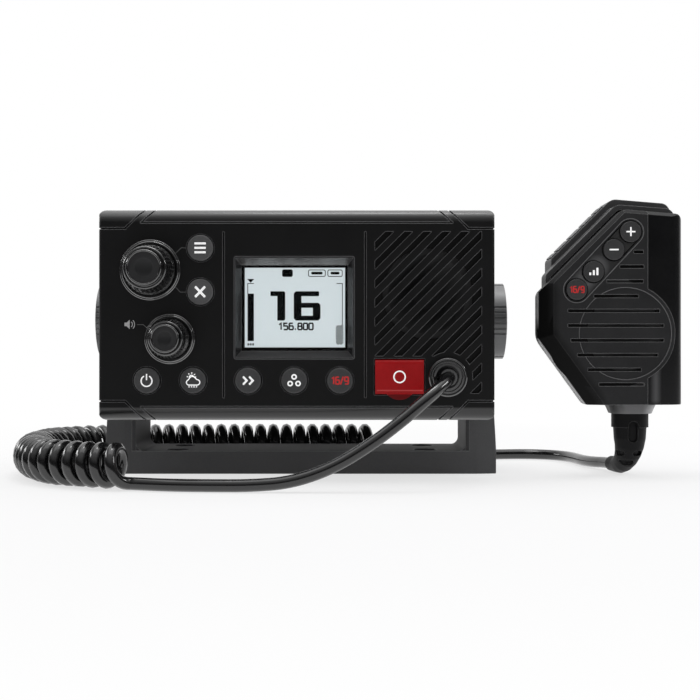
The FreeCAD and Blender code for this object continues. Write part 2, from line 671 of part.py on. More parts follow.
def keypad_mat():
    """A rubber sheet on the front board, with a hole round each key's stem."""
    y = (BOARD_Y - MAT_THICK - FIT, BOARD_Y - FIT)
    row = [on_case(at) for name, at in KEYS.items() if at[1] < 0]
    column = [on_case(at) for name, at in KEYS.items() if at[1] > 0]
    low = min(z for _, z in row) - MAT_MARGIN + 0.6
    row_box = block((min(x for x, _ in row) - MAT_MARGIN + 0.6, max(x for x, _ in row) + MAT_MARGIN), y,
                    (low, max(z for _, z in row) + MAT_MARGIN))
    column_x = span(column[0][0], KEY_R + 1.6)
    column_box = block(column_x, y, (low, max(z for _, z in column) + KEY_R + 1.6))
    mat = row_box.fuse(column_box)
    for at in row + column:
        mat = mat.cut(post(KEY_STEM_R + TRIM_GAP, at, (y[0] - 1, y[1] + 1)))
    volume = on_case(VOLUME_AT)
    clear = ENCODER_SIDE / 2 + FIT
    mat = mat.cut(block(span(volume[0], clear), (y[0] - 1, y[1] + 1), span(volume[1], clear)))
    for at in BOARD_BOSSES:
        mat = mat.cut(post(BOSS_R + FIT, on_case(at), (y[0] - 1, y[1] + 1)))
    return mat.removeSplitter()


def speaker():
    """Flanged basket and magnet, open to the front."""
    x, z = on_case(SPEAKER_AT)
    front = FACE_BACK + FIT
    behind_rim = front + SPEAKER_RIM
    magnet_y = behind_rim + SPEAKER_BASKET
    rim = post(SPEAKER_R, (x, z), (front, behind_rim))
    basket = cone(SPEAKER_R - SPEAKER_RIM, SPEAKER_MAGNET_R, (x, behind_rim, z), (x, magnet_y, z))
    magnet = post(SPEAKER_MAGNET_R, (x, z), (magnet_y, front + SPEAKER_DEEP))
    bowl_end = behind_rim + SPEAKER_BASKET / 2
    bowl = cone(SPEAKER_OPEN, SPEAKER_MAGNET_R / 2, (x, FACE_BACK - BEYOND, z), (x, bowl_end, z))
    return joined([rim, basket, magnet]).cut(bowl)


def front_board():
    y = (BOARD_Y, BOARD_Y + BOARD_THICK)
    z = [v + CASE_MID_Z for v in BOARD_Z]
    board = block(BOARD_X, y, z).fuse(block((0, BOARD_FOOT[0]), y, (z[0], BOARD_FOOT[1] + CASE_MID_Z)))
    for at in BOARD_BOSSES:
        board = board.cut(post(SMALL_SCREW_R + FIT, on_case(at), (y[0] - 1, y[1] + 1)))
    return board.removeSplitter()


def board_screws():
    """Four small screws for each board."""
    screws = []
    back = BOARD_Y + BOARD_THICK
    for at in BOARD_BOSSES:
        x, z = on_case(at)
        head = post(SMALL_HEAD_R, (x, z), (back, back + SMALL_HEAD))
        shank = post(SMALL_SCREW_R, (x, z), (BOARD_Y - SMALL_SCREW + 0.5, back))
        screws.append(head.fuse(shank))
    top = main_board_z() + BOARD_THICK
    for x, y in main_board_posts():
        head = rod(SMALL_HEAD_R, (x, y, top), (x, y, top + SMALL_HEAD))
        shank = rod(SMALL_SCREW_R, (x, y, main_board_z() - SMALL_SCREW + 0.5), (x, y, top))
        screws.append(head.fuse(shank))
    return Part.makeCompound(screws)


# ------------------------------------------------------- knobs and encoders


def encoder(at):
    """Housing on the front board with a threaded bush through the face."""
    x, z = at
    y = (BOARD_Y - ENCODER_DEEP, BOARD_Y)
    housing = block(span(x, ENCODER_SIDE / 2), y, span(z, ENCODER_SIDE / 2))
    bush = post(BUSH_R, at, (FACE_Y - KNOB_FOOT + GAP, y[0]))
    hollow = post(PLUNGER_R + GAP, at, (y[0] + ENCODER_ROOF, y[1] - ENCODER_FLOOR))
    bore = post(SHAFT_R + RUNNING, at, (FACE_Y - 2 * KNOB_FOOT, y[0] + ENCODER_ROOF + BEYOND))
    return housing.fuse(bush).cut(hollow).cut(bore)


def plunger_y():
    back = BOARD_Y - ENCODER_FLOOR - KNOB_TRAVEL - FIT
    return (back - PLUNGER_THICK, back)


def encoder_plunger(at):
    return post(PLUNGER_R, at, plunger_y())


def encoder_shaft(at, tall):
    """Shaft with the collar that keeps it in the housing."""
    back = plunger_y()[0] - RUNNING
    shaft = post(SHAFT_R, at, (FACE_Y - tall + KNOB_WALL, back))
    roof = BOARD_Y - ENCODER_DEEP + ENCODER_ROOF
    collar = post(COLLAR_R, at, (roof + GAP, roof + GAP + COLLAR_THICK))
    return shaft.fuse(collar)


def fluted_disc(radius, count, deep, at, y):
    """A disc along Y whose rim is cut into fine ridges."""
    points = []
    for i in range(count):
        for share, r in ((0.0, radius), (0.25, radius), (0.5, radius - deep), (0.75, radius - deep)):
            angle = 2 * math.pi * (i + share) / count
            points.append(V(at[0] + r * math.cos(angle), y[0], at[1] + r * math.sin(angle)))
    points.append(points[0])
    return Part.Face(Part.makePolygon(points)).extrude(V(0, y[1] - y[0], 0))


def knob(at, radius, tall):
    """Tapered knob, fluted round the side, with a rounded rim and a dished face."""
    x, z = at
    foot, front = FACE_Y - KNOB_FOOT, FACE_Y - tall
    rim_y = front + 2.2
    profile = [(0, front), (KNOB_FACE * radius, front), (KNOB_CAP * radius, rim_y),
               (KNOB_CAP * radius + 0.3, rim_y + 1.2), (radius, foot), (0, foot)]
    points = [V(x + r, y, z) for r, y in profile]
    body = Part.Face(Part.makePolygon(points + points[:1])).revolve(V(x, 0, z), V(0, 1, 0), 360)
    body = body.common(fluted_disc(radius, FLUTES, FLUTE_DEEP, at, (rim_y + 1.6, foot)).fuse(
        post(radius, at, (front - 1, rim_y + 1.6))))
    hollow = post(BUSH_R + 1.2, at, (foot - KNOB_TRAVEL - 2, foot + BEYOND))
    bore = post(SHAFT_R, at, (front + KNOB_WALL, foot + BEYOND))
    ball_r = ((KNOB_DIMPLE * radius) ** 2 + DIMPLE_DEEP**2) / (2 * DIMPLE_DEEP)
    dimple = Part.makeSphere(ball_r, V(x, front + DIMPLE_DEEP - ball_r, z))
    return body.cut(hollow).cut(bore).cut(dimple)


# ------------------------------------------------------------ distress flap


def flap_barrel_slot():
    return span(FLAP_X, SPRING_SLOT / 2)


def distress_cover():
    """Red flap: a plate hung from a barrel along its top edge, with a lift tab below."""
    x = span(FLAP_X, FLAP_W / 2)
    low, high = FLAP_Z[0] + CASE_MID_Z, FLAP_Z[1] + CASE_MID_Z
    front = FACE_Y - FLAP_PROUD
    pin_y, pin_z = pin_line()
    lip = FLAP_LIP / 2
    section = [(front, pin_z), (front, low + FLAP_LIP), (front + lip, low), (front + FLAP_THICK, low),
               (front + FLAP_THICK, pin_z)]
    points = [V(x[0], y, z) for y, z in section]
    plate = Part.Face(Part.makePolygon(points + points[:1])).extrude(V(FLAP_W, 0, 0))
    barrel = rod(FLAP_BARREL_R, (x[0], pin_y, pin_z), (x[1], pin_y, pin_z))
    tab_r = (FLAP_TAB_W**2 / 4 + FLAP_TAB_DROP**2) / (2 * FLAP_TAB_DROP)
    tab_y = (front + lip - FLAP_TAB_THICK, front + lip)
    tab = post(tab_r, (FLAP_X, low - FLAP_TAB_DROP + tab_r), tab_y)
    tab = tab.common(block(x, (front - 1, front + 2), (low - FLAP_TAB_DROP - 1, low + 0.5)))
    body = joined([plate, barrel, tab])
    body = body.cut(rod(FLAP_PIN_R + RUNNING, (x[0] - 1, pin_y, pin_z), (x[1] + 1, pin_y, pin_z)))
    slot = flap_barrel_slot()
    return body.cut(rod(FLAP_BARREL_R - 0.15, (slot[0], pin_y, pin_z), (slot[1], pin_y, pin_z)))


def distress_hinge_pin():
    x = flap_pit()[0]
    pin_y, pin_z = pin_line()
    return rod(FLAP_PIN_R, (x[0] - FLAP_PIN_SEAT, pin_y, pin_z), (x[1] + FLAP_PIN_SEAT, pin_y, pin_z))


def distress_spring():
    """Closed turns of flattened wire round the pin, as one ribbed ring."""
    pin_y, pin_z = pin_line()
    long = SPRING_TURNS * SPRING_STEP
    start = FLAP_X - long / 2
    points = [V(start, pin_y, pin_z + SPRING_IN_R)]
    for i in range(SPRING_TURNS):
        points.append(V(start + i * SPRING_STEP, pin_y, pin_z + SPRING_R))
        points.append(V(start + (i + 0.5) * SPRING_STEP, pin_y, pin_z + SPRING_OUT_R))
    points.append(V(start + long, pin_y, pin_z + SPRING_R))
    points.append(V(start + long, pin_y, pin_z + SPRING_IN_R))
    return Part.Face(Part.makePolygon(points + points[:1])).revolve(V(FLAP_X, pin_y, pin_z), V(1, 0, 0), 360)


def distress_button():
    at = button_place()
    front = FACE_Y - FLAP_PROUD + FLAP_THICK + 0.4
    floor = FACE_Y + PIT_DEEP + PIT_FLOOR
    cap = post(DISTRESS_R, at, (front, floor + GAP))
    flange = post(DISTRESS_R + 1, at, (floor + GAP, floor + GAP + KEY_FLANGE_THICK))
    stem = post(KEY_STEM_R, at, (floor + GAP, BOARD_Y - 2 * FIT - DISTRESS_TRAVEL))
    return joined([cap, flange, stem])


def cord_gland():
    """Flanged gland through the face with a short snout, and its hexagon nut behind."""
    at = on_case(GLAND_AT)
    x, z = at
    front = FACE_Y - GLAND_PROUD
    flange = post(GLAND_R, at, (front, FACE_Y))
    flange = flange.makeFillet(0.8, [edge for edge in flange.Edges if edge.BoundBox.YMax < front + 0.01])
    flange = flange.cut(post(GLAND_DISH_R, at, (front - 1, front + GLAND_DISH)))
    snout_tip = front - GLAND_SNOUT + GLAND_DISH
    snout = cone(GLAND_SNOUT_R, GLAND_SNOUT_R + 1.4, (x, snout_tip, z), (x, front + GLAND_DISH, z))
    body = joined([flange, snout, post(GLAND_BODY_R, at, (FACE_Y, FACE_Y + GLAND_LONG))])
    body = body.cut(post(GLAND_BORE, at, (snout_tip - 1, FACE_Y + GLAND_LONG + 1)))
    body = body.cut(post(CORD_R + RUNNING, at, (snout_tip - 1, FACE_Y - GLAND_SEAT)))
    corners = [V(x + NUT_R * math.cos(math.pi / 3 * i), FACE_BACK, z + NUT_R * math.sin(math.pi / 3 * i))
               for i in range(6)]
    nut = Part.Face(Part.makePolygon(corners + corners[:1])).extrude(V(0, NUT_THICK, 0))
    nut = nut.cut(post(GLAND_BODY_R, at, (FACE_BACK - 1, FACE_BACK + NUT_THICK + 1)))
    return Part.makeCompound([body, nut])


# ------------------------------------------------------------- rear chassis


def main_board_z():
    return CASE_MID_Z + CHASSIS_Z[0] + CHASSIS_WALL + 7.0


def main_board_posts():
    x = CHASSIS_HALF - CHASSIS_WALL - 12.0
    return [(sx * x, y) for sx in (-1, 1) for y in (CASE_BACK + 8, CHASSIS_BACK - CHASSIS_WALL - 8)]


def rear_chassis():
    """Cast box with a front flange, fins along its top, and bosses for the inserts and the board."""
    x = span(0, CHASSIS_HALF)
    z = [v + CASE_MID_Z for v in CHASSIS_Z]
    shell = slab(rectangle(x, z, 4.0), (FLANGE_FRONT, CHASSIS_BACK))
    flange_x, flange_z = span(0, CAVITY_X - FIT), span(CASE_MID_Z, CAVITY_Z - FIT)
    parts = [shell, block(flange_x, (FLANGE_FRONT, CASE_BACK), flange_z)]
    hollow_y = (FLANGE_FRONT - BEYOND, CHASSIS_BACK - CHASSIS_WALL)
    hollow = block((x[0] + CHASSIS_WALL, x[1] - CHASSIS_WALL), hollow_y,
                   (z[0] + CHASSIS_WALL, z[1] - CHASSIS_WALL))
    for i in range(TOP_FIN_COUNT):
        fin_x = (i - (TOP_FIN_COUNT - 1) / 2) * FIN_PITCH
        top_z = (z[1] - BEYOND, z[1] + TOP_FIN_TALL)
        parts.append(block(span(fin_x, FIN_THICK / 2), (CASE_BACK + TOP_FIN_START, CHASSIS_BACK), top_z))
    shell = joined(parts).cut(hollow)
    inner = []
    for side in (-1, 1):
        start = side * (CHASSIS_HALF - CHASSIS_WALL + BEYOND)
        end = side * (CHASSIS_HALF - INSERT_LONG - 1.5)
        inner.append(rod(INSERT_R + INSERT_BOSS, (start, 0, AXIS_Z), (end, 0, AXIS_Z)))
    for px, py in main_board_posts():
        inner.append(rod(3.0, (px, py, z[0] + CHASSIS_WALL - BEYOND), (px, py, main_board_z())))
    shell = shell.multiFuse(inner)
    cuts = []
    for side in (-1, 1):
        outer, inner_end = side * (CHASSIS_HALF + BEYOND), side * (CHASSIS_HALF - INSERT_LONG)
        cuts.append(rod(INSERT_R, (outer, 0, AXIS_Z), (inner_end, 0, AXIS_Z)))
    for px, py in main_board_posts():
        cuts.append(rod(SMALL_SCREW_R, (px, py, main_board_z() - SMALL_SCREW), (px, py, main_board_z() + 1)))
    for at in case_bosses():
        cuts.append(post(SCREW_R + 0.2, at, (FLANGE_FRONT - 1, CASE_BACK + 1)))
    wall_y = (CHASSIS_BACK - CHASSIS_WALL - BEYOND, CHASSIS_BACK + BEYOND)
    cuts.append(post(SOCKET_HOLE_R, (SOCKET_X, CASE_MID_Z + SOCKET_Z), wall_y))
    cuts.append(post(POWER_HOLE_R, (POWER_GLAND_X, CASE_MID_Z + SOCKET_Z), wall_y))
    for cutter in cuts:
        shell = shell.cut(cutter)
    return shell


def heat_sink():
    """Finned plate, riveted on the back of the chassis between the socket and the lead's gland."""
    z = [v + CASE_MID_Z for v in FIN_Z]
    half = (FIN_COUNT - 1) / 2 * FIN_PITCH + FIN_THICK / 2
    face = CHASSIS_BACK + HEAT_SINK_PLATE
    parts = [block(span(0, half), (CHASSIS_BACK, face), z)]
    for i in range(FIN_COUNT):
        fin_x = (i - (FIN_COUNT - 1) / 2) * FIN_PITCH
        parts.append(block(span(fin_x, FIN_THICK / 2), (face - BEYOND, CHASSIS_BACK + FIN_TALL), z))
    for side in (-1, 1):
        for level in (z[0] + RIVET_INSET, z[1] - RIVET_INSET):
            at = (side * (FIN_COUNT / 2 - 1) * FIN_PITCH, level)
            parts.append(post(RIVET_R, at, (face - BEYOND, face + RIVET_TALL)))
    return joined(parts)


def case_gasket():
    y = (FLANGE_FRONT - GASKET_THICK, FLANGE_FRONT)
    ring = block(span(0, CAVITY_X - FIT), y, span(CASE_MID_Z, CAVITY_Z - FIT))
    inner_x, inner_z = CAVITY_X - FIT - GASKET_WIDE, CAVITY_Z - FIT - GASKET_WIDE
    ring = ring.cut(block(span(0, inner_x), span(y[0], 3), span(CASE_MID_Z, inner_z)))
    for at in case_bosses():
        ring = ring.cut(post(CASE_BOSS_R, at, (y[0] - 1, y[1] + 1)))
    return ring


def case_screws():
    screws = []
    for at in case_bosses():
        head = post(SCREW_HEAD_R, at, (CASE_BACK, CASE_BACK + SCREW_HEAD))
        end = FLANGE_FRONT - GASKET_THICK - SCREW_LONG + 1
        screws.append(head.fuse(post(SCREW_R, at, (end, CASE_BACK))))
    return Part.makeCompound(screws)


def main_board():
    """Board on the chassis floor with its tallest parts: a filter can, a power module and capacitors."""
    z = (main_board_z(), main_board_z() + BOARD_THICK)
    x = span(0, CHASSIS_HALF - CHASSIS_WALL - MAIN_BOARD_SIDE)
    y = (CASE_BACK + MAIN_BOARD_END, CHASSIS_BACK - CHASSIS_WALL - MAIN_BOARD_END)
    board = block(x, y, z)
    sunk = z[1] - BOARD_THICK / 2
    parts = [board]
    for part_x, part_y, tall in (FILTER_CAN, POWER_MODULE):
        parts.append(block(part_x, (y[1] - part_y[1], y[1] - part_y[0]), (sunk, z[1] + tall)))
    for i in range(CAPACITORS):
        cap_x = CAPACITOR_X + CAPACITOR_PITCH * i
        parts.append(rod(CAPACITOR_R, (cap_x, 0, sunk), (cap_x, 0, z[1] + CAPACITOR_TALL)))
    board = joined(parts)
    for px, py in main_board_posts():
        board = board.cut(rod(SMALL_SCREW_R + FIT, (px, py, z[0] - BEYOND), (px, py, z[1] + BEYOND)))
    return board


def antenna_socket():
    at = (SOCKET_X, CASE_MID_Z + SOCKET_Z)
    flange = block(span(at[0], SOCKET_FLANGE / 2), (CHASSIS_BACK, CHASSIS_BACK + SOCKET_FLANGE_THICK),
                   span(at[1], SOCKET_FLANGE / 2))
    end = CHASSIS_BACK + SOCKET_FLANGE_THICK + SOCKET_LONG
    barrel = post(SOCKET_R, at, (CHASSIS_BACK, end))
    hollow = post(SOCKET_R - 1.4, at, (end - SOCKET_LONG + 3, end + 1))
    core = post(SOCKET_BORE + 2.2, at, (end - SOCKET_LONG + 3, end - 1))
    bore = post(SOCKET_BORE, at, (end - SOCKET_LONG + 1, end + 1))
    return joined([flange, barrel.cut(hollow), core]).cut(bore)


def power_gland():
    at = (POWER_GLAND_X, CASE_MID_Z + SOCKET_Z)
    foot = post(POWER_GLAND_R, at, (CHASSIS_BACK, CHASSIS_BACK + 3))
    tip = CHASSIS_BACK + POWER_GLAND_LONG
    nose = cone(POWER_GLAND_R - 1, POWER_BORE + 1.5, (at[0], CHASSIS_BACK + 3, at[1]), (at[0], tip, at[1]))
    return foot.fuse(nose).cut(post(POWER_BORE, at, (CHASSIS_BACK - 1, tip + 1)))


# -------------------------------------------------------------------- gimbal


def mount_inserts():
    rings = []
    for side in (-1, 1):
        a, b = (side * (CHASSIS_HALF - INSERT_LONG), 0, AXIS_Z), (side * CHASSIS_HALF, 0, AXIS_Z)
        rings.append(rod(INSERT_R, a, b).cut(rod(STUD_R + RUNNING, a, b)))
    return Part.makeCompound(rings)


def friction_washers():
    rings = []
    for side in (-1, 1):
        a, b = (side * CHASSIS_HALF, 0, AXIS_Z), (side * (CHASSIS_HALF + WASHER_THICK), 0, AXIS_Z)
        rings.append(rod(WASHER_R, a, b).cut(rod(STUD_R + GAP, a, b)))
    return Part.makeCompound(rings)


def leg_outer(z):
    """How far out the leg's outer face stands at a height."""
    foot, head = LEG_INNER + LEG_FOOT_THICK, LEG_INNER + LEG_HEAD_THICK
    share = max(0, (z - PLATE_THICK) / (AXIS_Z - PLATE_THICK))
    return foot + (head - foot) * share


def bracket_leg():
    """The right leg: rounded top, outer face leaning in, front and back faces creased."""
    top = AXIS_Z + LEG_TOP_R
    knee = PLATE_THICK + 16
    side_view = [(-LEG_HALF, 0, 0), (-LEG_HALF, knee, 12), (-LEG_TOP_R, top, LEG_TOP_R - 0.5),
                 (LEG_TOP_R, top, LEG_TOP_R - 0.5), (LEG_HALF, knee, 12), (LEG_HALF, 0, 0)]
    wide = leg_outer(0) - LEG_INNER
    leg = prism(side_view, lambda u, v: V(LEG_INNER, u, v), V(wide, 0, 0))
    front_view = [(LEG_INNER, 0, 0), (leg_outer(0), 0, 0), (leg_outer(0), PLATE_THICK, 8),
                  (leg_outer(top), top, 0), (LEG_INNER, top, 0)]
    leg = leg.common(slab(front_view, (-LEG_HALF, LEG_HALF)))
    crease = LEG_INNER + LEG_CREASE
    low = -LEG_HALF + LEG_SLOPE
    plan = [(LEG_INNER, -LEG_HALF, 0), (crease, -LEG_HALF, 0), (leg_outer(0), low, 1.2),
            (leg_outer(0), -low, 1.2), (crease, LEG_HALF, 0), (LEG_INNER, LEG_HALF, 0)]
    leg = leg.common(prism(plan, lambda u, v: V(u, v, 0), V(0, 0, top)))
    for side in (-1, 1):
        edge = [(LEG_INNER - BEYOND, side * (LEG_HALF - LEG_CHAMFER - BEYOND)),
                (LEG_INNER + LEG_CHAMFER + BEYOND, side * (LEG_HALF + BEYOND)),
                (LEG_INNER - BEYOND, side * (LEG_HALF + BEYOND))]
        points = [V(x, y, PLATE_THICK) for x, y in edge]
        leg = leg.cut(Part.Face(Part.makePolygon(points + points[:1])).extrude(V(0, 0, top)))
    leg = leg.cut(rod(GRIP_R + 1, (GRIP_X - GAP, 0, AXIS_Z), (leg_outer(0) + 1, 0, AXIS_Z)))
    return leg.cut(rod(STUD_R + GAP, (LEG_INNER - 1, 0, AXIS_Z), (leg_outer(0) + 1, 0, AXIS_Z)))


def gimbal_bracket():
    plate = block(span(0, LEG_INNER + 1), span(0, LEG_HALF), (0, PLATE_THICK))
    leg = bracket_leg()
    r = PLATE_FILLET
    middle_x, middle_z = LEG_INNER - r, PLATE_THICK + r
    fillet_z = (PLATE_THICK - BEYOND, middle_z)
    fillet = block((middle_x, LEG_INNER + BEYOND), span(0, LEG_HALF - LEG_CHAMFER), fillet_z)
    fillet = fillet.cut(rod(r, (middle_x, -LEG_HALF, middle_z), (middle_x, LEG_HALF, middle_z)))
    body = joined([plate, leg, fillet, mirrored(leg), mirrored(fillet)])
    relief = block(span(0, LEG_INNER), span(0, LEG_HALF - PLATE_RIM), (-1, PLATE_RELIEF))
    keep = []
    for sx in (-1, 1):
        for sy in (-1, 1):
            at = (sx * BASE_SCREW_X, sy * BASE_SCREW_Y)
            keep.append(rod(BASE_SINK_R + 2, (at[0], at[1], -2), (at[0], at[1], PLATE_RELIEF + 1)))
    body = body.cut(relief.cut(Part.makeCompound(keep)))
    for sx in (-1, 1):
        for sy in (-1, 1):
            x, y = sx * BASE_SCREW_X, sy * BASE_SCREW_Y
            body = body.cut(rod(BASE_HOLE_R, (x, y, -1), (x, y, PLATE_THICK + 1)))
            body = body.cut(rod(BASE_SINK_R, (x, y, PLATE_THICK - BASE_SINK), (x, y, PLATE_THICK + 1)))
    return body


def grip_groove(angle):
    """A wedge that cuts one groove across the grip's rim, at an angle in degrees from the back."""
    floor, far = GRIP_R - GRIP_GROOVE_DEEP, GRIP_R + BEYOND
    corners = []
    for r, turn in ((floor, -0.3), (far, -0.5), (far, 0.5), (floor, 0.3)):
        turned = math.radians(angle + turn * GRIP_GROOVE_WIDE)
        corners.append(V(GRIP_X - BEYOND, r * math.cos(turned), AXIS_Z + r * math.sin(turned)))
    through = GRIP_THICK + GRIP_DOME + 2 * BEYOND
    return Part.Face(Part.makePolygon(corners + corners[:1])).extrude(V(through, 0, 0))


def mount_knob():
    """The right hand grip: a drum with a slightly domed outer face and four groups of grooves."""
    outer = GRIP_X + GRIP_THICK
    top, rim = V(outer + GRIP_DOME, 0, AXIS_Z), V(outer - GRIP_EDGE, 0, AXIS_Z + GRIP_R)
    half = V(outer + GRIP_DOME * 0.8, 0, AXIS_Z + GRIP_R * 0.55)
    edges = [Part.Arc(top, half, rim).toShape()]
    corners = [rim, V(GRIP_X, 0, rim.z), V(GRIP_X, 0, AXIS_Z), top]
    edges += [Part.LineSegment(a, b).toShape() for a, b in zip(corners, corners[1:])]
    drum = Part.Face(Part.Wire(edges)).revolve(V(0, 0, AXIS_Z), V(1, 0, 0), 360)
    grooves = []
    for group in range(GRIP_GROUPS):
        for i in range(GRIP_GROOVES):
            off = (i - (GRIP_GROOVES - 1) / 2) * GRIP_GROOVE_PITCH
            grooves.append(grip_groove(group * 360 / GRIP_GROUPS + off))
    drum = drum.cut(Part.makeCompound(grooves))
    return drum.cut(rod(STUD_R, (GRIP_X - BEYOND, 0, AXIS_Z), (outer - GRIP_CAP, 0, AXIS_Z)))


def knob_stud():
    inner = CHASSIS_HALF - INSERT_LONG + BEYOND
    return rod(STUD_R, (inner, 0, AXIS_Z), (GRIP_X + GRIP_THICK - GRIP_CAP, 0, AXIS_Z))


# ---------------------------------------------------------------- microphone


def bevel(a, b, wide, deep):
    """A cutter that slopes the front face away along the outline's edge from a to b."""
    along = V(b[0] - a[0], 0, b[1] - a[1]).normalize()
    inward = V(along.z, 0, -along.x)
    start = V(a[0], 0, a[1]) - along * 20
    far = 5.0
    section = [(wide, MIC_FACE_Y), (-far, MIC_FACE_Y + deep * (wide + far) / wide), (-far, MIC_FACE_Y - 2),
               (wide, MIC_FACE_Y - 2)]
    points = [start + inward * off + V(0, y, 0) for off, y in section]
    length = math.hypot(b[0] - a[0], b[1] - a[1]) + 40
    return Part.Face(Part.makePolygon(points + points[:1])).extrude(along * length)


def mic_front_form(inset):
    """The front shell's outer form, shrunk by inset on all faces but the back."""
    body = slab(grown(MIC_FRONT, -inset), (MIC_FACE_Y + inset, MIC_STEP_Y))
    a = [(x, z) for x, z, _ in grown(MIC_FRONT, -inset)]
    shift = V(0, inset, 0)
    slopes = [(a[4], a[5], MIC_BEVEL, MIC_BEVEL_DEEP), (a[5], a[0], MIC_BEVEL, MIC_BEVEL_DEEP),
              (a[0], a[1], MIC_LIP, MIC_LIP), (a[1], a[2], MIC_LIP, MIC_LIP)]
    for start, end, wide, deep in slopes:
        cutter = bevel(start, end, wide, deep)
        cutter.translate(shift)
        body = body.cut(cutter)
    right = a[2][0]
    plan = [(0, MIC_FACE_Y + inset, 0), (right, MIC_FACE_Y + inset, max(MIC_SIDE_ROUND - inset, 1)),
            (right, MIC_BACK_Y, 0), (0, MIC_BACK_Y, 0)]
    return body.common(prism(plan, lambda u, v: V(u, v, 0), V(0, 0, MIC_REACH)))


def cover_region(gap):
    """Everything right of the side cover's seam, which swings out round the speaker."""
    region = block((COVER_SEAM_X + gap, MIC_REACH), (MIC_FACE_Y - BEYOND, MIC_STEP_Y), (0, MIC_REACH))
    return region.cut(post(COVER_ARC_R + gap, DISH_AT, (MIC_FACE_Y - 2 * BEYOND, MIC_STEP_Y + BEYOND)))


def mic_bosses(y):
    return [post(MIC_BOSS_R, at, y) for at in MIC_SCREWS]


def mic_front_shell():
    outer = mic_front_form(0)
    hollow = slab(grown(MIC_FRONT, -MIC_WALL - 1.0), (MIC_FACE_Y + MIC_WALL, MIC_STEP_Y + 1))
    mouth = slab(grown(MIC_FRONT, -MIC_WALL), (MIC_STEP_Y - 2, MIC_STEP_Y + 1))
    hollow = hollow.common(mic_front_form(MIC_WALL).fuse(mouth))
    body = outer.cut(hollow)
    bosses = [boss.common(outer) for boss in mic_bosses((MIC_FACE_Y + MIC_WALL - 0.5, MIC_STEP_Y))]
    body = body.multiFuse(bosses)
    skin = outer.cut(mic_front_form(COVER_THICK)).common(cover_region(0))
    cuts = [skin]
    cuts.append(post(DISH_R, DISH_AT, (MIC_FACE_Y - BEYOND, MIC_FACE_Y + DISH_DEEP)))
    dish = post(MIC_SPEAKER_R - 1.5, DISH_AT, (MIC_FACE_Y - 2, MIC_STEP_Y))
    for i, (left, right) in enumerate(MIC_SLOTS):
        z = span(MIC_SLOT_TOP - i * MIC_SLOT_PITCH, MIC_SLOT_TALL / 2)
        cuts.append(block((left, right), (MIC_FACE_Y - 1, MIC_FACE_Y + MIC_SLOT_DEEP), z))
        cuts.append(block((left, right), (MIC_FACE_Y - 1, MIC_FACE_Y + MIC_WALL + 1), z).common(dish))
    tray_y = (MIC_FACE_Y - 1, MIC_FACE_Y + MIC_TRAY_DEEP)
    cuts.append(capsule(MIC_TRAY_R, MIC_KEY_AT[3], MIC_KEY_AT[0], tray_y))
    key_y = (MIC_FACE_Y - 1, MIC_FACE_Y + MIC_WALL + 1)
    cuts.append(capsule(MIC_KEY_R + TRIM_GAP, MIC_KEY_AT[1], MIC_KEY_AT[0], key_y))
    for at in MIC_KEY_AT[2:]:
        cuts.append(post(MIC_KEY_R + TRIM_GAP, at, key_y))
    for at in MIC_SCREWS:
        cuts.append(post(MIC_SCREW_R, at, (MIC_STEP_Y - 5, MIC_STEP_Y + 1)))
    for cutter in cuts:
        body = body.cut(cutter)
    return body


def mic_side_cover():
    skin = mic_front_form(0).cut(mic_front_form(COVER_THICK - FIT))
    return skin.common(cover_region(FIT))


def across_ptt(along, out, y):
    """A point in the push-to-talk bar's own directions: along the slanting edge, and out of it."""
    a = MIC_REAR[0]
    half = math.sqrt(0.5)
    return V(a[0] + (along - out) * half, y, a[1] + (along + out) * half)


def ptt_box(along, out, y):
    points = [across_ptt(u, v, y[0]) for u, v in
              ((along[0], out[0]), (along[1], out[0]), (along[1], out[1]), (along[0], out[1]))]
    return Part.Face(Part.makePolygon(points + points[:1])).extrude(V(0, y[1] - y[0], 0))


def ptt_span():
    middle = (MIC_REAR_Y + MIC_BACK_Y) / 2
    return span(middle, PTT_WIDE / 2)


def ptt_pocket(grow):
    y = ptt_span()
    along = (PTT_START - TRIM_GAP - grow, PTT_START + PTT_LONG + TRIM_GAP + grow)
    deep = PTT_THICK + PTT_TRAVEL + TRIM_GAP + grow
    return ptt_box(along, (-deep, 6), (y[0] - TRIM_GAP - grow, y[1] + TRIM_GAP + grow))


def ptt_button():
    """Bar with grip grooves across it and a stem to the switch."""
    y = ptt_span()
    along = (PTT_START, PTT_START + PTT_LONG)
    body = ptt_box(along, (-PTT_THICK, PTT_PROUD), y)
    middle = PTT_START + PTT_LONG / 2
    for i in range(PTT_GROOVES):
        at = middle + (i - (PTT_GROOVES - 1) / 2) * PTT_GROOVE_PITCH
        out = (PTT_PROUD - PTT_GROOVE_DEEP, PTT_PROUD + BEYOND)
        body = body.cut(ptt_box(span(at, PTT_GROOVE / 2), out, (y[0] - BEYOND, y[1] + BEYOND)))
    centre = sum(y) / 2
    a, b = across_ptt(middle, -PTT_THICK + 1, centre), across_ptt(middle, -PTT_THICK - PTT_STEM, centre)
    return body.fuse(rod(PTT_STEM_R, tuple(a), tuple(b)))


def ptt_switch():
    y = span(sum(ptt_span()) / 2, 3.5)
    middle = PTT_START + PTT_LONG / 2
    top = -(PTT_THICK + PTT_STEM + PTT_TRAVEL + GAP)
    return ptt_box(span(middle, 5), (top - 6, top), (y[0], MIC_BACK_Y - MIC_WALL))


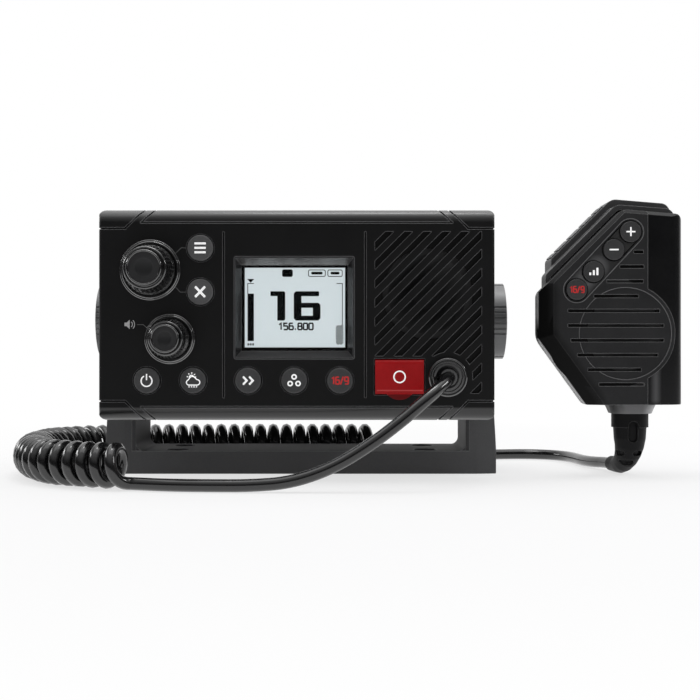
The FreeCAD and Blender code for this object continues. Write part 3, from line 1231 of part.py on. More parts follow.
def mic_back_shell():
    """Two stepped tubs: the band behind the front shell, and the rear with the bar's pocket."""
    band = slab(MIC_BAND, (MIC_STEP_Y, MIC_REAR_Y))
    rear = slab(MIC_REAR, (MIC_REAR_Y - 1, MIC_BACK_Y))
    x, y = MIC_NECK_AT
    ends = []
    for (half_x, half_y, corner), level in ((NECK_TOP, MIC_REAR[3][1] + BEYOND), (NECK_FOOT, NECK_FOOT_Z)):
        corners = rectangle(span(x, half_x), span(y, half_y), corner)
        ends.append(outline(corners, lambda u, v, level=level: V(u, v, level)))
    neck = Part.makeLoft(ends, True, True)
    hollow = slab(grown(MIC_BAND, -MIC_WALL), (MIC_STEP_Y - 1, MIC_REAR_Y))
    deep = slab(grown(MIC_REAR, -MIC_WALL), (MIC_REAR_Y - 1, MIC_BACK_Y - MIC_WALL))
    inside = slab(grown(MIC_BAND, -MIC_WALL), (MIC_REAR_Y - 1, MIC_BACK_Y - MIC_WALL))
    body = joined([band, rear, neck]).cut(hollow.fuse(deep.common(inside)).cut(ptt_pocket(MIC_WALL)))
    bosses = mic_bosses((MIC_STEP_Y, MIC_BACK_Y - 1))
    body = body.multiFuse([boss.common(band.fuse(rear)) for boss in bosses])
    middle = PTT_START + PTT_LONG / 2
    centre = sum(ptt_span()) / 2
    inner, outer = across_ptt(middle, -PTT_THICK - PTT_STEM - BEYOND, centre), across_ptt(middle, 5, centre)
    stem_hole = rod(PTT_STEM_R + GAP, tuple(outer), tuple(inner))
    cuts = [ptt_pocket(0), stem_hole]
    for at in MIC_SCREWS:
        cuts.append(post(MIC_SCREW_R + 0.1, at, (MIC_STEP_Y - 1, MIC_BACK_Y + 1)))
        cuts.append(post(MIC_BOSS_R - 0.4, at, (MIC_BACK_Y - 2, MIC_BACK_Y + 1)))
    cuts.append(rod(CORD_R, (*MIC_NECK_AT, NECK_FOOT_Z - 1), (*MIC_NECK_AT, MIC_BAND[3][1] + MIC_WALL + 1)))
    for cutter in cuts:
        body = body.cut(cutter)
    return body


def mic_key(at):
    front = MIC_FACE_Y - MIC_KEY_PROUD
    back = MIC_FACE_Y + MIC_WALL
    cap = post(MIC_KEY_R, at, (front, back + GAP))
    cap = cap.makeFillet(0.4, [edge for edge in cap.Edges if edge.BoundBox.YMax < front + 0.01])
    flange = post(MIC_KEY_R + MIC_KEY_FLANGE, at, (back + GAP, back + GAP + 0.7))
    stem = post(1.6, at, (back + GAP, MIC_FACE_Y + MIC_BOARD_DROP - 2 * FIT - KEY_TRAVEL))
    return joined([cap, flange, stem])


def mic_keypad_mat():
    """Rubber sheet on the board; a web stands up between the first two keys."""
    y = (MIC_FACE_Y + MIC_BOARD_DROP - MAT_THICK - FIT, MIC_FACE_Y + MIC_BOARD_DROP - FIT)
    mat = capsule(MIC_KEY_R + 1.2, MIC_KEY_AT[3], MIC_KEY_AT[0], y)
    for at in MIC_KEY_AT:
        mat = mat.cut(post(1.6 + TRIM_GAP, at, (y[0] - 1, y[1] + 1)))
    web = capsule(MIC_KEY_R, MIC_KEY_AT[1], MIC_KEY_AT[0], (MIC_FACE_Y + MIC_TRAY_DEEP, y[1]))
    under = MIC_FACE_Y + MIC_WALL + FIT
    for at in MIC_KEY_AT[:2]:
        web = web.cut(post(MIC_KEY_R + GAP, at, (MIC_FACE_Y - 1, y[1] + 1)))
        web = web.cut(post(MIC_KEY_R + MIC_KEY_FLANGE + GAP, at, (under, y[0])))
    return joined([mat] + web.Solids)


def mic_board():
    y = (MIC_FACE_Y + MIC_BOARD_DROP, MIC_STEP_Y - FIT)
    board = slab(grown(MIC_FRONT, -MIC_WALL - 1.2), y)
    right = MIC_FRONT[2][0] - MIC_BOARD_RIGHT
    keep = block((0, right), (y[0] - 1, y[1] + 1), (DISH_AT[1] + MIC_SPEAKER_R + 1.2, MIC_REACH))
    return board.common(keep)


def mic_speaker():
    """Small speaker behind the slots, which is also the microphone's capsule."""
    x, z = DISH_AT
    front = MIC_FACE_Y + MIC_WALL + FIT
    rim = post(MIC_SPEAKER_R, DISH_AT, (front, front + MIC_SPEAKER_RIM))
    can = post(MIC_CAN_R, DISH_AT, (front + MIC_SPEAKER_RIM / 2, front + MIC_SPEAKER_DEEP))
    bowl_r = MIC_SPEAKER_R - MIC_SPEAKER_RIM
    bowl = cone(bowl_r, MIC_CAN_R / 3, (x, front - BEYOND, z), (x, front + MIC_SPEAKER_RIM - GAP, z))
    return rim.fuse(can).cut(bowl)


def boot_form(inset):
    """The boot's tapering part, shrunk by inset all round, and the direction in which its end lies."""
    x, y = MIC_NECK_AT
    toward = V(BOOT_END[0] - x, BOOT_END[1] - y, 0)
    reach = toward.Length
    toward.normalize()
    stations = [(V(x, y, NECK_FOOT_Z - BOOT_STEP), V(0, 0, -1), BOOT_STEP_R)]
    for i in range(BOOT_STATIONS):
        share = i / (BOOT_STATIONS - 1)
        turn = math.pi / 2 * share
        place = V(x, y, BOOT_BEND_Z) + toward * (BOOT_BEND_R * (1 - math.cos(turn)))
        place.z -= BOOT_BEND_R * math.sin(turn)
        heading = V(0, 0, -math.cos(turn)) + toward * math.sin(turn)
        radius = BOOT_BEND_START_R + (BOOT_BEND_END_R - BOOT_BEND_START_R) * share
        stations.append((place, heading, radius))
    low = stations[-1][0]
    stations.append((V(x, y, low.z) + toward * reach, toward, BOOT_END_R))
    rings = []
    for at, heading, radius in stations:
        rings.append(Part.Wire(Part.Circle(at, heading, radius - inset).toShape()))
    return Part.makeLoft(rings, True, True), V(x, y, low.z) + toward * reach, toward


def mic_strain_relief():
    """Stepped rubber boot that turns from the neck to lie along the table, with slots in front."""
    x, y = MIC_NECK_AT
    collar = (x, y, NECK_FOOT_Z - BOOT_STEP), (x, y, NECK_FOOT_Z)
    body, end, toward = boot_form(0)
    core = boot_form(BOOT_SLOT_DEEP)[0].fuse(rod(BOOT_STEP_R - BOOT_SLOT_DEEP, *collar))
    front = (y - BOOT_R - BEYOND, y)
    slots = [capsule(BOOT_OVAL_R, (x, BOOT_OVAL_Z[0]), (x, BOOT_OVAL_Z[1]), front)]
    round_r = BOOT_SLOT_TALL / 2
    for left, right, z in BOOT_SLOTS:
        slots.append(capsule(round_r, (left + round_r, z), (right - round_r, z), front))
    slots = slots[0].multiFuse(slots[1:]).cut(core)
    seat = rod(CORD_R + RUNNING, end - toward * BOOT_SEAT, end + toward)
    return rod(BOOT_R, *collar).fuse(body).cut(slots).cut(seat)


def mic_screws():
    screws = []
    for at in MIC_SCREWS:
        head = post(MIC_BOSS_R - 0.6, at, (MIC_BACK_Y - 2, MIC_BACK_Y - 0.5))
        screws.append(head.fuse(post(MIC_SCREW_R, at, (MIC_STEP_Y - 4.5, MIC_BACK_Y - 2))))
    return Part.makeCompound(screws)


def mic_hanger_stud():
    neck = post(STUD_NECK_R, STUD_AT, (MIC_BACK_Y, MIC_BACK_Y + STUD_NECK))
    head = post(STUD_HEAD_R, STUD_AT, (MIC_BACK_Y + STUD_NECK, MIC_BACK_Y + STUD_NECK + STUD_HEAD))
    return neck.fuse(head)


# ---------------------------------------------------------------------- cord


def tube(name, route, radius):
    """A round tube along straight runs joined by tangent arcs; prints its arc radii."""
    points = [V(*point) for point in route]
    edges, radii, here = [], [], points[0]
    for before, corner, after in zip(points, points[1:], points[2:]):
        into, out = before - corner, after - corner
        reach = 0.45 * min(into.Length, out.Length)
        half = into.getAngle(out) / 2
        start, end = corner + into.normalize() * reach, corner + out.normalize() * reach
        inward = (into + out).normalize()
        arc_radius = reach * math.tan(half)
        middle = corner + inward * (reach / math.cos(half) - arc_radius)
        edges.append(Part.LineSegment(here, start).toShape())
        edges.append(Part.Arc(start, middle, end).toShape())
        radii.append(arc_radius)
        here = end
    edges.append(Part.LineSegment(here, points[-1]).toShape())
    path = Part.Wire(edges)
    section = Part.Wire(Part.Circle(points[0], points[1] - points[0], radius).toShape())
    solid = path.makePipeShell([section], True, False)
    expected = math.pi * radius**2 * path.Length
    print(name, "radii", [round(r, 1) for r in radii], "length", round(path.Length, 1),
          "volume share", round(solid.Volume / expected, 4))
    return solid


# ------------------------------------------------------------------ assembly


def build():
    """Every node's shape, by name."""
    channel, volume = on_case(CHANNEL_AT), on_case(VOLUME_AT)
    window, panel, holder = display_stack()
    nodes = {
        "front_case": front_case(),
        "display_frame": display_frame(),
        "display_window": window,
        "lcd_panel": panel,
        "lcd_holder": holder,
        "keypad_mat": keypad_mat(),
        "speaker": speaker(),
        "front_board": front_board(),
        "main_board": main_board(),
        "board_screws": board_screws(),
        "rear_chassis": rear_chassis(),
        "heat_sink": heat_sink(),
        "case_gasket": case_gasket(),
        "case_screws": case_screws(),
        "antenna_socket": antenna_socket(),
        "power_gland": power_gland(),
        "cord_gland": cord_gland(),
        "rotary_encoders": Part.makeCompound([encoder(channel), encoder(volume)]),
        "channel_plunger": encoder_plunger(channel),
        "channel_shaft": encoder_shaft(channel, KNOB_TALL),
        "channel_knob": knob(channel, CHANNEL_R, KNOB_TALL),
        "volume_plunger": encoder_plunger(volume),
        "volume_shaft": encoder_shaft(volume, VOLUME_TALL),
        "volume_knob": knob(volume, VOLUME_R, VOLUME_TALL),
        "distress_cover": distress_cover(),
        "distress_hinge_pin": distress_hinge_pin(),
        "distress_spring": distress_spring(),
        "distress_button": distress_button(),
        "mount_inserts": mount_inserts(),
        "friction_washers": friction_washers(),
        "right_mount_knob": mount_knob(),
        "left_mount_knob": mirrored(mount_knob()),
        "right_knob_stud": knob_stud(),
        "left_knob_stud": mirrored(knob_stud()),
        "gimbal_bracket": gimbal_bracket(),
        "mic_front_shell": mic_front_shell(),
        "mic_back_shell": mic_back_shell(),
        "mic_side_cover": mic_side_cover(),
        "mic_speaker": mic_speaker(),
        "mic_board": mic_board(),
        "mic_keypad_mat": mic_keypad_mat(),
        "mic_strain_relief": mic_strain_relief(),
        "mic_screws": mic_screws(),
        "mic_hanger_stud": mic_hanger_stud(),
        "ptt_button": ptt_button(),
        "ptt_switch": ptt_switch(),
        "cord_lead_radio": tube("cord_lead_radio", LEAD_RADIO, CORD_R),
        "cord_coil": tube("cord_coil", COIL, COIL_R),
        "cord_lead_mic": tube("cord_lead_mic", LEAD_MIC, CORD_R),
    }
    for name, at in KEYS.items():
        nodes[name] = key(on_case(at))
    for name, at in zip(MIC_KEY_NAMES, MIC_KEY_AT):
        nodes[name] = mic_key(at)
    return nodes


os.makedirs("parts", exist_ok=True)
for node, shape in build().items():
    shape.exportStep(f"parts/{node}.step")
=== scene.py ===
import math

import bmesh
import bpy
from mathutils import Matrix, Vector


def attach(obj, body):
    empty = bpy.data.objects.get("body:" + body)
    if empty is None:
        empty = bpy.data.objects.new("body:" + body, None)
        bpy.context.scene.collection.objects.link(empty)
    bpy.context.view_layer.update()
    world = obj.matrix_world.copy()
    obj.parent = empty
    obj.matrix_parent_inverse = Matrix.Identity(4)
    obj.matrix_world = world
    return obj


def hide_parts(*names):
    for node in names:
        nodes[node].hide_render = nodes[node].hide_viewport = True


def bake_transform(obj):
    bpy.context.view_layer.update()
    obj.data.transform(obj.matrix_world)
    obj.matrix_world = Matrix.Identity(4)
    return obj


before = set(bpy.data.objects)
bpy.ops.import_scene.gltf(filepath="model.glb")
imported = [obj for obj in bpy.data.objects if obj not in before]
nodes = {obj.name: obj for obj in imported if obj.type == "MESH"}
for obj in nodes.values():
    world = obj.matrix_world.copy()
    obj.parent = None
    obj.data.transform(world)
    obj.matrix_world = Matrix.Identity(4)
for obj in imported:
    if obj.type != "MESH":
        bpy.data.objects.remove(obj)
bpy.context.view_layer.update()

# Studio. A white table runs back into a white room that stays dim in front, so that the black face
# mirrors little. A wide soft lamp and a small bright one hang above, with a strip lamp at each side.
WHITE = (1.0, 1.0, 1.0, 1.0)
ROOM_LIGHT = 0.52
ROOM_DIM = 0.06
TABLE_R = 4.0
LAMPS = (
    ("soft lamp", (0.02, 0.02, 0.76), (0.02, 0.0, 0.06), (0.95, 0.80), 2.4),
    ("bright lamp", (0.03, -0.02, 0.68), (0.02, 0.0, 0.06), (0.22, 0.12), 0.6),
    ("left strip", (-0.60, 0.12, 0.30), (0.0, -0.02, 0.07), (0.10, 0.50), 1.0),
    ("right strip", (0.62, 0.05, 0.36), (0.05, -0.02, 0.07), (0.10, 0.40), 1.1),
)
scene = bpy.context.scene
scene.view_settings.view_transform = "Standard"


def feed(tree, socket, value):
    """Links an input to another node's output, or sets it."""
    if isinstance(value, bpy.types.NodeSocket):
        tree.links.new(value, socket)
    else:
        socket.default_value = value


def add(tree, kind, **settings):
    """A new node. Names of its inputs take values or other nodes' outputs, and other names are properties."""
    new = tree.nodes.new(kind)
    for name, value in settings.items():
        label = name.replace("_", " ")
        if label in new.inputs:
            feed(tree, new.inputs[label], value)
        else:
            setattr(new, name, value)
    return new


def worked(tree, operation, *values, kind="Math", out=0, **settings):
    """What a maths node makes of numbers and other nodes' outputs."""
    new = add(tree, "ShaderNode" + kind, operation=operation, **settings)
    for socket, value in zip(new.inputs, values):
        feed(tree, socket, value)
    return new.outputs[out]


def ranged(tree, value, low, high, to_low=0.0, to_high=1.0, **settings):
    """A value carried over from one range to another, and held at its ends."""
    return add(tree, "ShaderNodeMapRange", Value=value, From_Min=low, From_Max=high, To_Min=to_low,
               To_Max=to_high, **settings).outputs["Result"]


def between(tree, share, first, last):
    """A number part of the way between two."""
    return add(tree, "ShaderNodeMix", data_type="FLOAT", Factor=share, A=first, B=last).outputs["Result"]


def place_in(tree, space):
    """The X, Y and Z of a texture coordinate."""
    return add(tree, "ShaderNodeSeparateXYZ", Vector=add(tree, "ShaderNodeTexCoord").outputs[space]).outputs


def mesh_of(name, shape):
    """The mesh of a finished bmesh."""
    mesh = bpy.data.meshes.new(name)
    shape.to_mesh(mesh)
    shape.free()
    return mesh


def piece_of(name, mesh, *materials):
    """A piece in the scene, with its mesh and the materials of it."""
    for material in materials:
        mesh.materials.append(material)
    piece = bpy.data.objects.new(name, mesh)
    scene.collection.objects.link(piece)
    return piece


world = bpy.data.worlds.new("white room")
scene.world = world
world.use_nodes = True
room = world.node_tree
room.nodes.clear()
rays = add(room, "ShaderNodeLightPath").outputs
heading = place_in(room, "Generated")
behind = ranged(room, heading["Y"], 0.10, 0.70, ROOM_DIM, 1.0)
overhead = ranged(room, heading["Z"], 0.30, 0.9, ROOM_DIM, 0.8)
lit = between(room, rays["Is Glossy Ray"], ROOM_LIGHT, worked(room, "MAXIMUM", behind, overhead))
seen = worked(room, "MAXIMUM", rays["Is Camera Ray"], rays["Is Transmission Ray"])
sky = add(room, "ShaderNodeBackground", Color=WHITE, Strength=between(room, seen, lit, 1.0))
add(room, "ShaderNodeOutputWorld", Surface=sky.outputs[0])

for name, place, aim, size, watts in LAMPS:
    lamp = bpy.data.lights.new(name, "AREA")
    lamp.shape = "RECTANGLE"
    lamp.size, lamp.size_y = size
    lamp.energy = watts
    stand = bpy.data.objects.new(name, lamp)
    stand.location = place
    stand.rotation_euler = (Vector(aim) - Vector(place)).to_track_quat("-Z", "Z").to_euler()
    scene.collection.objects.link(stand)

table_paint = bpy.data.materials.new("white table")
table_paint.use_nodes = True
paint = table_paint.node_tree
paint.nodes.clear()
rays = add(paint, "ShaderNodeLightPath").outputs
middle = add(paint, "ShaderNodeTexCoord").outputs["Object"]
distance = worked(paint, "LENGTH", middle, kind="VectorMath", out="Value")
whitened = ranged(paint, distance, 0.16, 0.42, 0.68, 1.0, interpolation_type="SMOOTHSTEP")
shown = worked(paint, "MULTIPLY", whitened, rays["Is Camera Ray"])
mirrored = worked(paint, "MULTIPLY", ranged(paint, distance, 0.25, 0.70, 1.0, 0.08),
                  worked(paint, "MAXIMUM", rays["Is Glossy Ray"], rays["Is Transmission Ray"]))
painted = add(paint, "ShaderNodeMixShader", Fac=worked(paint, "MAXIMUM", shown, mirrored))
feed(paint, painted.inputs[1], add(paint, "ShaderNodeBsdfDiffuse", Color=(0.86, 0.86, 0.87, 1.0)).outputs[0])
feed(paint, painted.inputs[2], add(paint, "ShaderNodeEmission", Color=WHITE, Strength=1.0).outputs[0])
add(paint, "ShaderNodeOutputMaterial", Surface=painted.outputs[0])
top = bmesh.new()
bmesh.ops.create_circle(top, cap_ends=True, segments=96, radius=TABLE_R)
table = piece_of("table", mesh_of("table", top), table_paint)

lens = bpy.data.cameras.new("camera")
lens.lens = 63.33
lens.sensor_width = 36.0
lens.clip_start = 0.01
camera = bpy.data.objects.new("camera", lens)
camera.location = (0.02165, -0.5615, 0.0543)
camera.rotation_euler = (math.radians(90), 0, 0)
scene.collection.objects.link(camera)
scene.camera = camera

# Cord. One 5 mm lead of black rubber runs straight out of the radio's gland, is wound into a springy
# coil that lies round the radio's left side and behind it, and runs on straight to the microphone.
CORD = 0.005
COIL_R = 0.0067
COIL_Z = 0.0093
COIL_TURNS = 43
TURN_POINTS = 22
COIL_LEAD_IN = 0.010
LYING = 0.0026
CLOUDS = 70.0


def group_with(name, takes, gives):
    """An empty shader group. Its named inputs and outputs are given with their kinds."""
    group = bpy.data.node_groups.new(name, "ShaderNodeTree")
    for way, sockets in (("INPUT", takes), ("OUTPUT", gives)):
        for label, kind in sockets.items():
            group.interface.new_socket(name=label, in_out=way, socket_type="NodeSocket" + kind)
    return group, group.nodes.new("NodeGroupInput").outputs, group.nodes.new("NodeGroupOutput").inputs


def grain_group():
    """Moulded grain: a fine pattern for bump and a slow one for tone, both from one position."""
    group, start, end = group_with("moulded grain", {
        "Position": "Vector", "Grain per metre": "Float", "Clouds per metre": "Float"},
        {"Tone": "Float", "Height": "Float"})
    fine, slow = (
        add(group, "ShaderNodeTexNoise", Vector=start["Position"], Scale=start[scale], Detail=detail,
            Roughness=rough).outputs["Fac"]
        for scale, detail, rough in (("Grain per metre", 3.0, 0.6), ("Clouds per metre", 4.0, 0.55)))
    both = worked(group, "MULTIPLY_ADD", fine, 0.45, worked(group, "MULTIPLY", slow, 0.55))
    feed(group, end["Tone"], ranged(group, both, 0.3, 0.7))
    feed(group, end["Height"], fine)
    return group


def edge_group():
    """Bevelled edges: a normal that rounds every edge off, and a mask that is one along it."""
    group, start, end = group_with("worn edge", {"Radius": "Float"}, {"Mask": "Float", "Normal": "Vector"})
    rounded = add(group, "ShaderNodeBevel", samples=6, Radius=start["Radius"]).outputs["Normal"]
    level = add(group, "ShaderNodeNewGeometry").outputs["Normal"]
    match = worked(group, "DOT_PRODUCT", rounded, level, kind="VectorMath", out="Value")
    feed(group, end["Mask"], ranged(group, match, 0.99, 0.86))
    feed(group, end["Normal"], rounded)
    return group


def zone_group():
    """A zone of the front, as a mask that fades over its soft rim: all within a radius of a line."""
    group, start, end = group_with("front zone", {
        "Position": "Vector", "From": "Vector", "To": "Vector", "Radius": "Float", "Soft": "Float"},
        {"Mask": "Float"})

    def vector(operation, first, second, out="Vector"):
        return worked(group, operation, first, second, kind="VectorMath", out=out)

    flat = vector("MULTIPLY", start["Position"], (1.0, 0.0, 1.0))
    offset = vector("SUBTRACT", flat, start["From"])
    line = vector("SUBTRACT", start["To"], start["From"])
    part = worked(group, "DIVIDE", vector("DOT_PRODUCT", offset, line, "Value"),
                  vector("DOT_PRODUCT", line, line, "Value"), use_clamp=True)
    reach = vector("DISTANCE", offset, vector("MULTIPLY", line, part), "Value")
    inside = worked(group, "SUBTRACT", start["Radius"], reach)
    feed(group, end["Mask"], worked(group, "DIVIDE", inside, start["Soft"], use_clamp=True))
    return group


grain = grain_group()
bevelled_edge = edge_group()
front_zone = zone_group()


def finish(name, dark, light, rough, grains=1800.0, deep=0.00001, edge=0.0002, rim=None, shine=None,
           rounded=True, **shader):
    """A material from the moulded grain: two tones, two roughnesses and a bump, with edges rounded off in
    shading. A rim colour, where given, is a painted highlight laid along the edges.
    """
    made = bpy.data.materials.new(name)
    made.use_nodes = True
    tree = made.node_tree
    surface = tree.nodes["Principled BSDF"].inputs
    for socket, value in shader.items():
        surface[socket.replace("_", " ")].default_value = value
    pattern = add(tree, "ShaderNodeGroup", node_tree=grain, Grain_per_metre=grains, Clouds_per_metre=CLOUDS,
                  Position=add(tree, "ShaderNodeTexCoord").outputs["Object"]).outputs
    feed(tree, surface["Base Color"], tinted(tree, pattern["Tone"], (*dark, 1.0), (*light, 1.0)))
    feed(tree, surface["Roughness"], ranged(tree, pattern["Tone"], 0.0, 1.0, *rough))
    bump = add(tree, "ShaderNodeBump", Strength=1.0, Distance=deep, Height=pattern["Height"])
    feed(tree, surface["Normal"], bump.outputs["Normal"])
    if edge:
        bevelled = add(tree, "ShaderNodeGroup", node_tree=bevelled_edge, Radius=edge).outputs
        if rounded:
            feed(tree, bump.inputs["Normal"], bevelled["Normal"])
        # The rim colour is a painted highlight along the edges.
        if rim:
            tone(made, bevelled["Mask"], rim)
        if shine:
            polish(made, bevelled["Mask"], shine)
    return made


def tinted(tree, share, first, last):
    """A colour part of the way between two."""
    new = add(tree, "ShaderNodeMix", data_type="RGBA", Factor=share)
    feed(tree, new.inputs[6], first)
    feed(tree, new.inputs[7], last)
    return new.outputs[2]


def tone(material, mask, colour):
    """Lays one more colour over a material's own where a mask says."""
    tree = material.node_tree
    base = tree.nodes["Principled BSDF"].inputs["Base Color"]
    feed(tree, base, tinted(tree, mask, base.links[0].from_socket, (*colour, 1.0)))


def polish(material, mask, rough):
    """Gives a material another roughness where a mask says."""
    tree = material.node_tree
    base = tree.nodes["Principled BSDF"].inputs["Roughness"]
    feed(tree, base, between(tree, mask, base.links[0].from_socket, rough))


def zone(material, first, last, radius, soft=0.00005):
    """The mask of a front zone between two (x, z) points."""
    tree = material.node_tree
    return add(tree, "ShaderNodeGroup", node_tree=front_zone, From=(first[0], 0.0, first[1]),
               To=(last[0], 0.0, last[1]), Radius=radius, Soft=soft,
               Position=add(tree, "ShaderNodeTexCoord").outputs["Object"]).outputs["Mask"]


def dress(material, *names):
    """Gives CAD nodes their material."""
    for name in names:
        for slot in nodes[name].material_slots:
            slot.material = material


def curve_of(kind, points):
    """A curve of one open spline, and the spline."""
    line = bpy.data.curves.new("route", "CURVE")
    line.dimensions = "3D"
    spline = line.splines.new(kind)
    spline.points.add(len(points) - 1)
    for point, place in zip(spline.points, points):
        point.co = (*place, 1.0)
    return line, spline


def meshed(line):
    """The mesh that a curve gives."""
    carrier = bpy.data.objects.new("route", line)
    mesh = bpy.data.meshes.new_from_object(carrier)
    bpy.data.objects.remove(carrier)
    return mesh


def along(route):
    """Points along the NURBS spline that has these control points."""
    line, spline = curve_of("NURBS", route)
    line.resolution_u = 16
    spline.order_u = 3
    spline.use_endpoint_u = True
    return [vertex.co.copy() for vertex in meshed(line).vertices]


def hose(name, points, sides, material):
    """A closed round tube of the cord's thickness whose rings have these points as centres."""
    line, spline = curve_of("POLY", points)
    line.bevel_depth = CORD / 2
    line.bevel_resolution = sides // 4 - 1
    line.use_fill_caps = True
    line.twist_mode = "MINIMUM"
    spline.use_smooth = True
    mesh = meshed(line)
    mesh.name = name
    mesh.materials.clear()
    return piece_of(name, mesh, material)


def wound(line, radius, turns, lead_in):
    """Points of a helix round a level line. Both its ends run off low down."""
    reach = [0.0]
    for a, b in zip(line, line[1:]):
        reach.append(reach[-1] + (b - a).length)
    steps = turns * TURN_POINTS
    shares = [i / steps * reach[-1] for i in range(steps + 1)]
    paces = [min(1.0, share / lead_in, (reach[-1] - share) / lead_in) for share in shares]
    whole = sum(paces[1:])
    points = []
    angle = 0.0
    for i, share in enumerate(shares):
        k = next((j for j in range(1, len(reach)) if reach[j] >= share), len(reach) - 1)
        across = (line[k] - line[k - 1]).normalized().cross(Vector((0, 0, 1))).normalized()
        if i:
            angle += paces[i] / whole * turns * math.tau
        centre = line[k - 1].lerp(line[k], (share - reach[k - 1]) / (reach[k] - reach[k - 1]))
        points.append(centre - across * radius * math.sin(angle) - Vector((0, 0, radius * math.cos(angle))))
    return points


cord_rubber = finish("black cord rubber", (0.004, 0.004, 0.0045), (0.008, 0.008, 0.0085), (0.13, 0.20),
                     grains=900.0, deep=0.000005, edge=0, Specular_IOR_Level=0.8)

lead_radio = along([
    (0.0613, -0.0645, 0.0432), (0.0613, -0.0715, 0.0432), (0.0594, -0.0780, 0.0418),
    (0.0554, -0.0836, 0.0387), (0.0496, -0.0874, 0.0339), (0.0410, -0.0894, 0.0266),
    (0.0288, -0.0916, 0.0176), (0.0148, -0.0928, 0.0092), (-0.0010, -0.0930, 0.0038),
    (-0.0165, -0.0924, LYING), (-0.0305, -0.0922, LYING), (-0.0435, -0.0910, LYING),
    (-0.0535, -0.0885, LYING), (-0.0625, -0.0849, LYING)])
radio_cord = hose("radio_cord", lead_radio, 16, cord_rubber)

coil_line = along([(x, y, COIL_Z) for x, y in (
    (-0.0625, -0.0849), (-0.0792, -0.0780), (-0.0962, -0.0680), (-0.1074, -0.0520), (-0.1147, -0.0310),
    (-0.1177, -0.0085), (-0.1154, 0.0125), (-0.1044, 0.0265), (-0.0860, 0.0340), (-0.0600, 0.0376),
    (-0.0270, 0.0392), (0.0050, 0.0386), (0.0370, 0.0386))])
coil_points = wound(coil_line, COIL_R, COIL_TURNS, COIL_LEAD_IN)
coil_cord = hose("coil_cord", coil_points, 12, cord_rubber)

lead_mic = along([
    (0.0370, 0.0386, LYING), (0.0550, 0.0386, LYING), (0.0755, 0.0434, LYING), (0.0945, 0.0496, LYING),
    (0.1090, 0.0516, LYING), (0.1202, 0.0476, LYING), (0.1270, 0.0386, LYING), (0.1296, 0.0270, LYING),
    (0.1309, 0.0150, LYING), (0.1336, 0.0036, 0.0030), (0.1375, -0.00675, 0.0037), (0.13947, -0.01439, 0.0037)])
mic_cord = hose("mic_cord", lead_mic, 16, cord_rubber)

for piece, node in ((radio_cord, "cord_lead_radio"), (coil_cord, "cord_coil"), (mic_cord, "cord_lead_mic")):
    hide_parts(node)
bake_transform(radio_cord)
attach(coil_cord, "bracket")
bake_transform(mic_cord)

# Front case. One moulding of black plastic with a fine spark grain on its face and a smoother, glossier
# roll along its top and bottom edges. It is screwed to the chassis from behind.
CASE_MIDDLE = 0.0686
ROLL_FROM = 0.0378
ROLL_SOFT = 0.0004
LEVEL_TO = 0.0370
GROOVE_Y = (-0.06138, -0.06118)
# Painted shade for the floors of the grooves and seams.
GROOVE_SHADE = (0.0012, 0.0012, 0.0013)
CHANNEL_AT = (-0.05935, 0.0867)
VOLUME_AT = (-0.0514, 0.0588)
KNOB_RINGS = ((CHANNEL_AT, 0.0122), (VOLUME_AT, 0.0101))
SPOT_LONG = 0.0001


def spot(material, centre, radius, soft=0.00005):
    """The mask of a round zone."""
    return zone(material, centre, (centre[0], centre[1] + SPOT_LONG), radius, soft)


def lacquer(material, mask):
    """Gives a material its coat where a mask says."""
    tree = material.node_tree
    feed(tree, tree.nodes["Principled BSDF"].inputs["Coat Weight"], mask)


# The case's rim colour is a painted highlight along its edges, grooves and seams.
case_black = finish("grained black case", (0.0028, 0.0028, 0.0030), (0.0050, 0.0050, 0.0054), (0.46, 0.56),
                    grains=2600.0, deep=0.000016, edge=0.00048, rim=(0.20, 0.20, 0.205), shine=0.24,
                    Specular_IOR_Level=0.20, Coat_Roughness=0.30)
tree = case_black.node_tree
place = place_in(tree, "Object")
away = worked(tree, "ABSOLUTE", worked(tree, "SUBTRACT", place["Z"], CASE_MIDDLE))
glossy = ranged(tree, away, ROLL_FROM - ROLL_SOFT, ROLL_FROM + ROLL_SOFT)
for centre, radius in KNOB_RINGS:
    glossy = worked(tree, "MAXIMUM", glossy, spot(case_black, centre, radius))
lacquer(case_black, glossy)
polish(case_black, glossy, 0.30)
# The floors of the grooves and seams are painted near black: painted shade in the recesses.
in_groove = worked(tree, "MULTIPLY", ranged(tree, place["Y"], *GROOVE_Y),
                   worked(tree, "LESS_THAN", away, LEVEL_TO))
tone(case_black, in_groove, GROOVE_SHADE)
dress(case_black, "front_case")

# Display frame. A separate glossy black moulding, snapped into the face round the window, whose four
# slanting sides lead down to the glass. The upper side is the glossiest, and the lower one is satin.
# The frame's rim colour is a painted highlight along its inner edges and mitres.
frame_black = finish("glossy black frame", (0.009, 0.009, 0.010), (0.012, 0.012, 0.013), (0.24, 0.28),
                     grains=900.0, deep=0.0000005, edge=0.00022, rim=(0.22, 0.22, 0.225), rounded=False,
                     Specular_IOR_Level=0.6, Coat_Roughness=0.2, Coat_IOR=2.3)
tree = frame_black.node_tree
lean = place_in(tree, "Normal")["Z"]
lacquer(frame_black, ranged(tree, lean, -0.2, -0.4))
polish(frame_black, ranged(tree, lean, 0.2, 0.4), 0.6)
dress(frame_black, "display_frame")

# Window and screen. A clear plate with a black printed border lies over a pale liquid-crystal panel,
# whose dark segments show the channel, two level scales and a row of boxes.
WINDOW_X = (-0.02275, 0.02075)
WINDOW_Z = (0.0539, 0.0890)
SCREEN_X = (-0.02147, 0.01964)
SCREEN_Z = (0.05537, 0.08799)
GLASS_Y = (-0.0579, -0.0570)
BORDER_Y = (-0.05695, -0.05682)
INK_Y = (-0.05678, -0.05671)


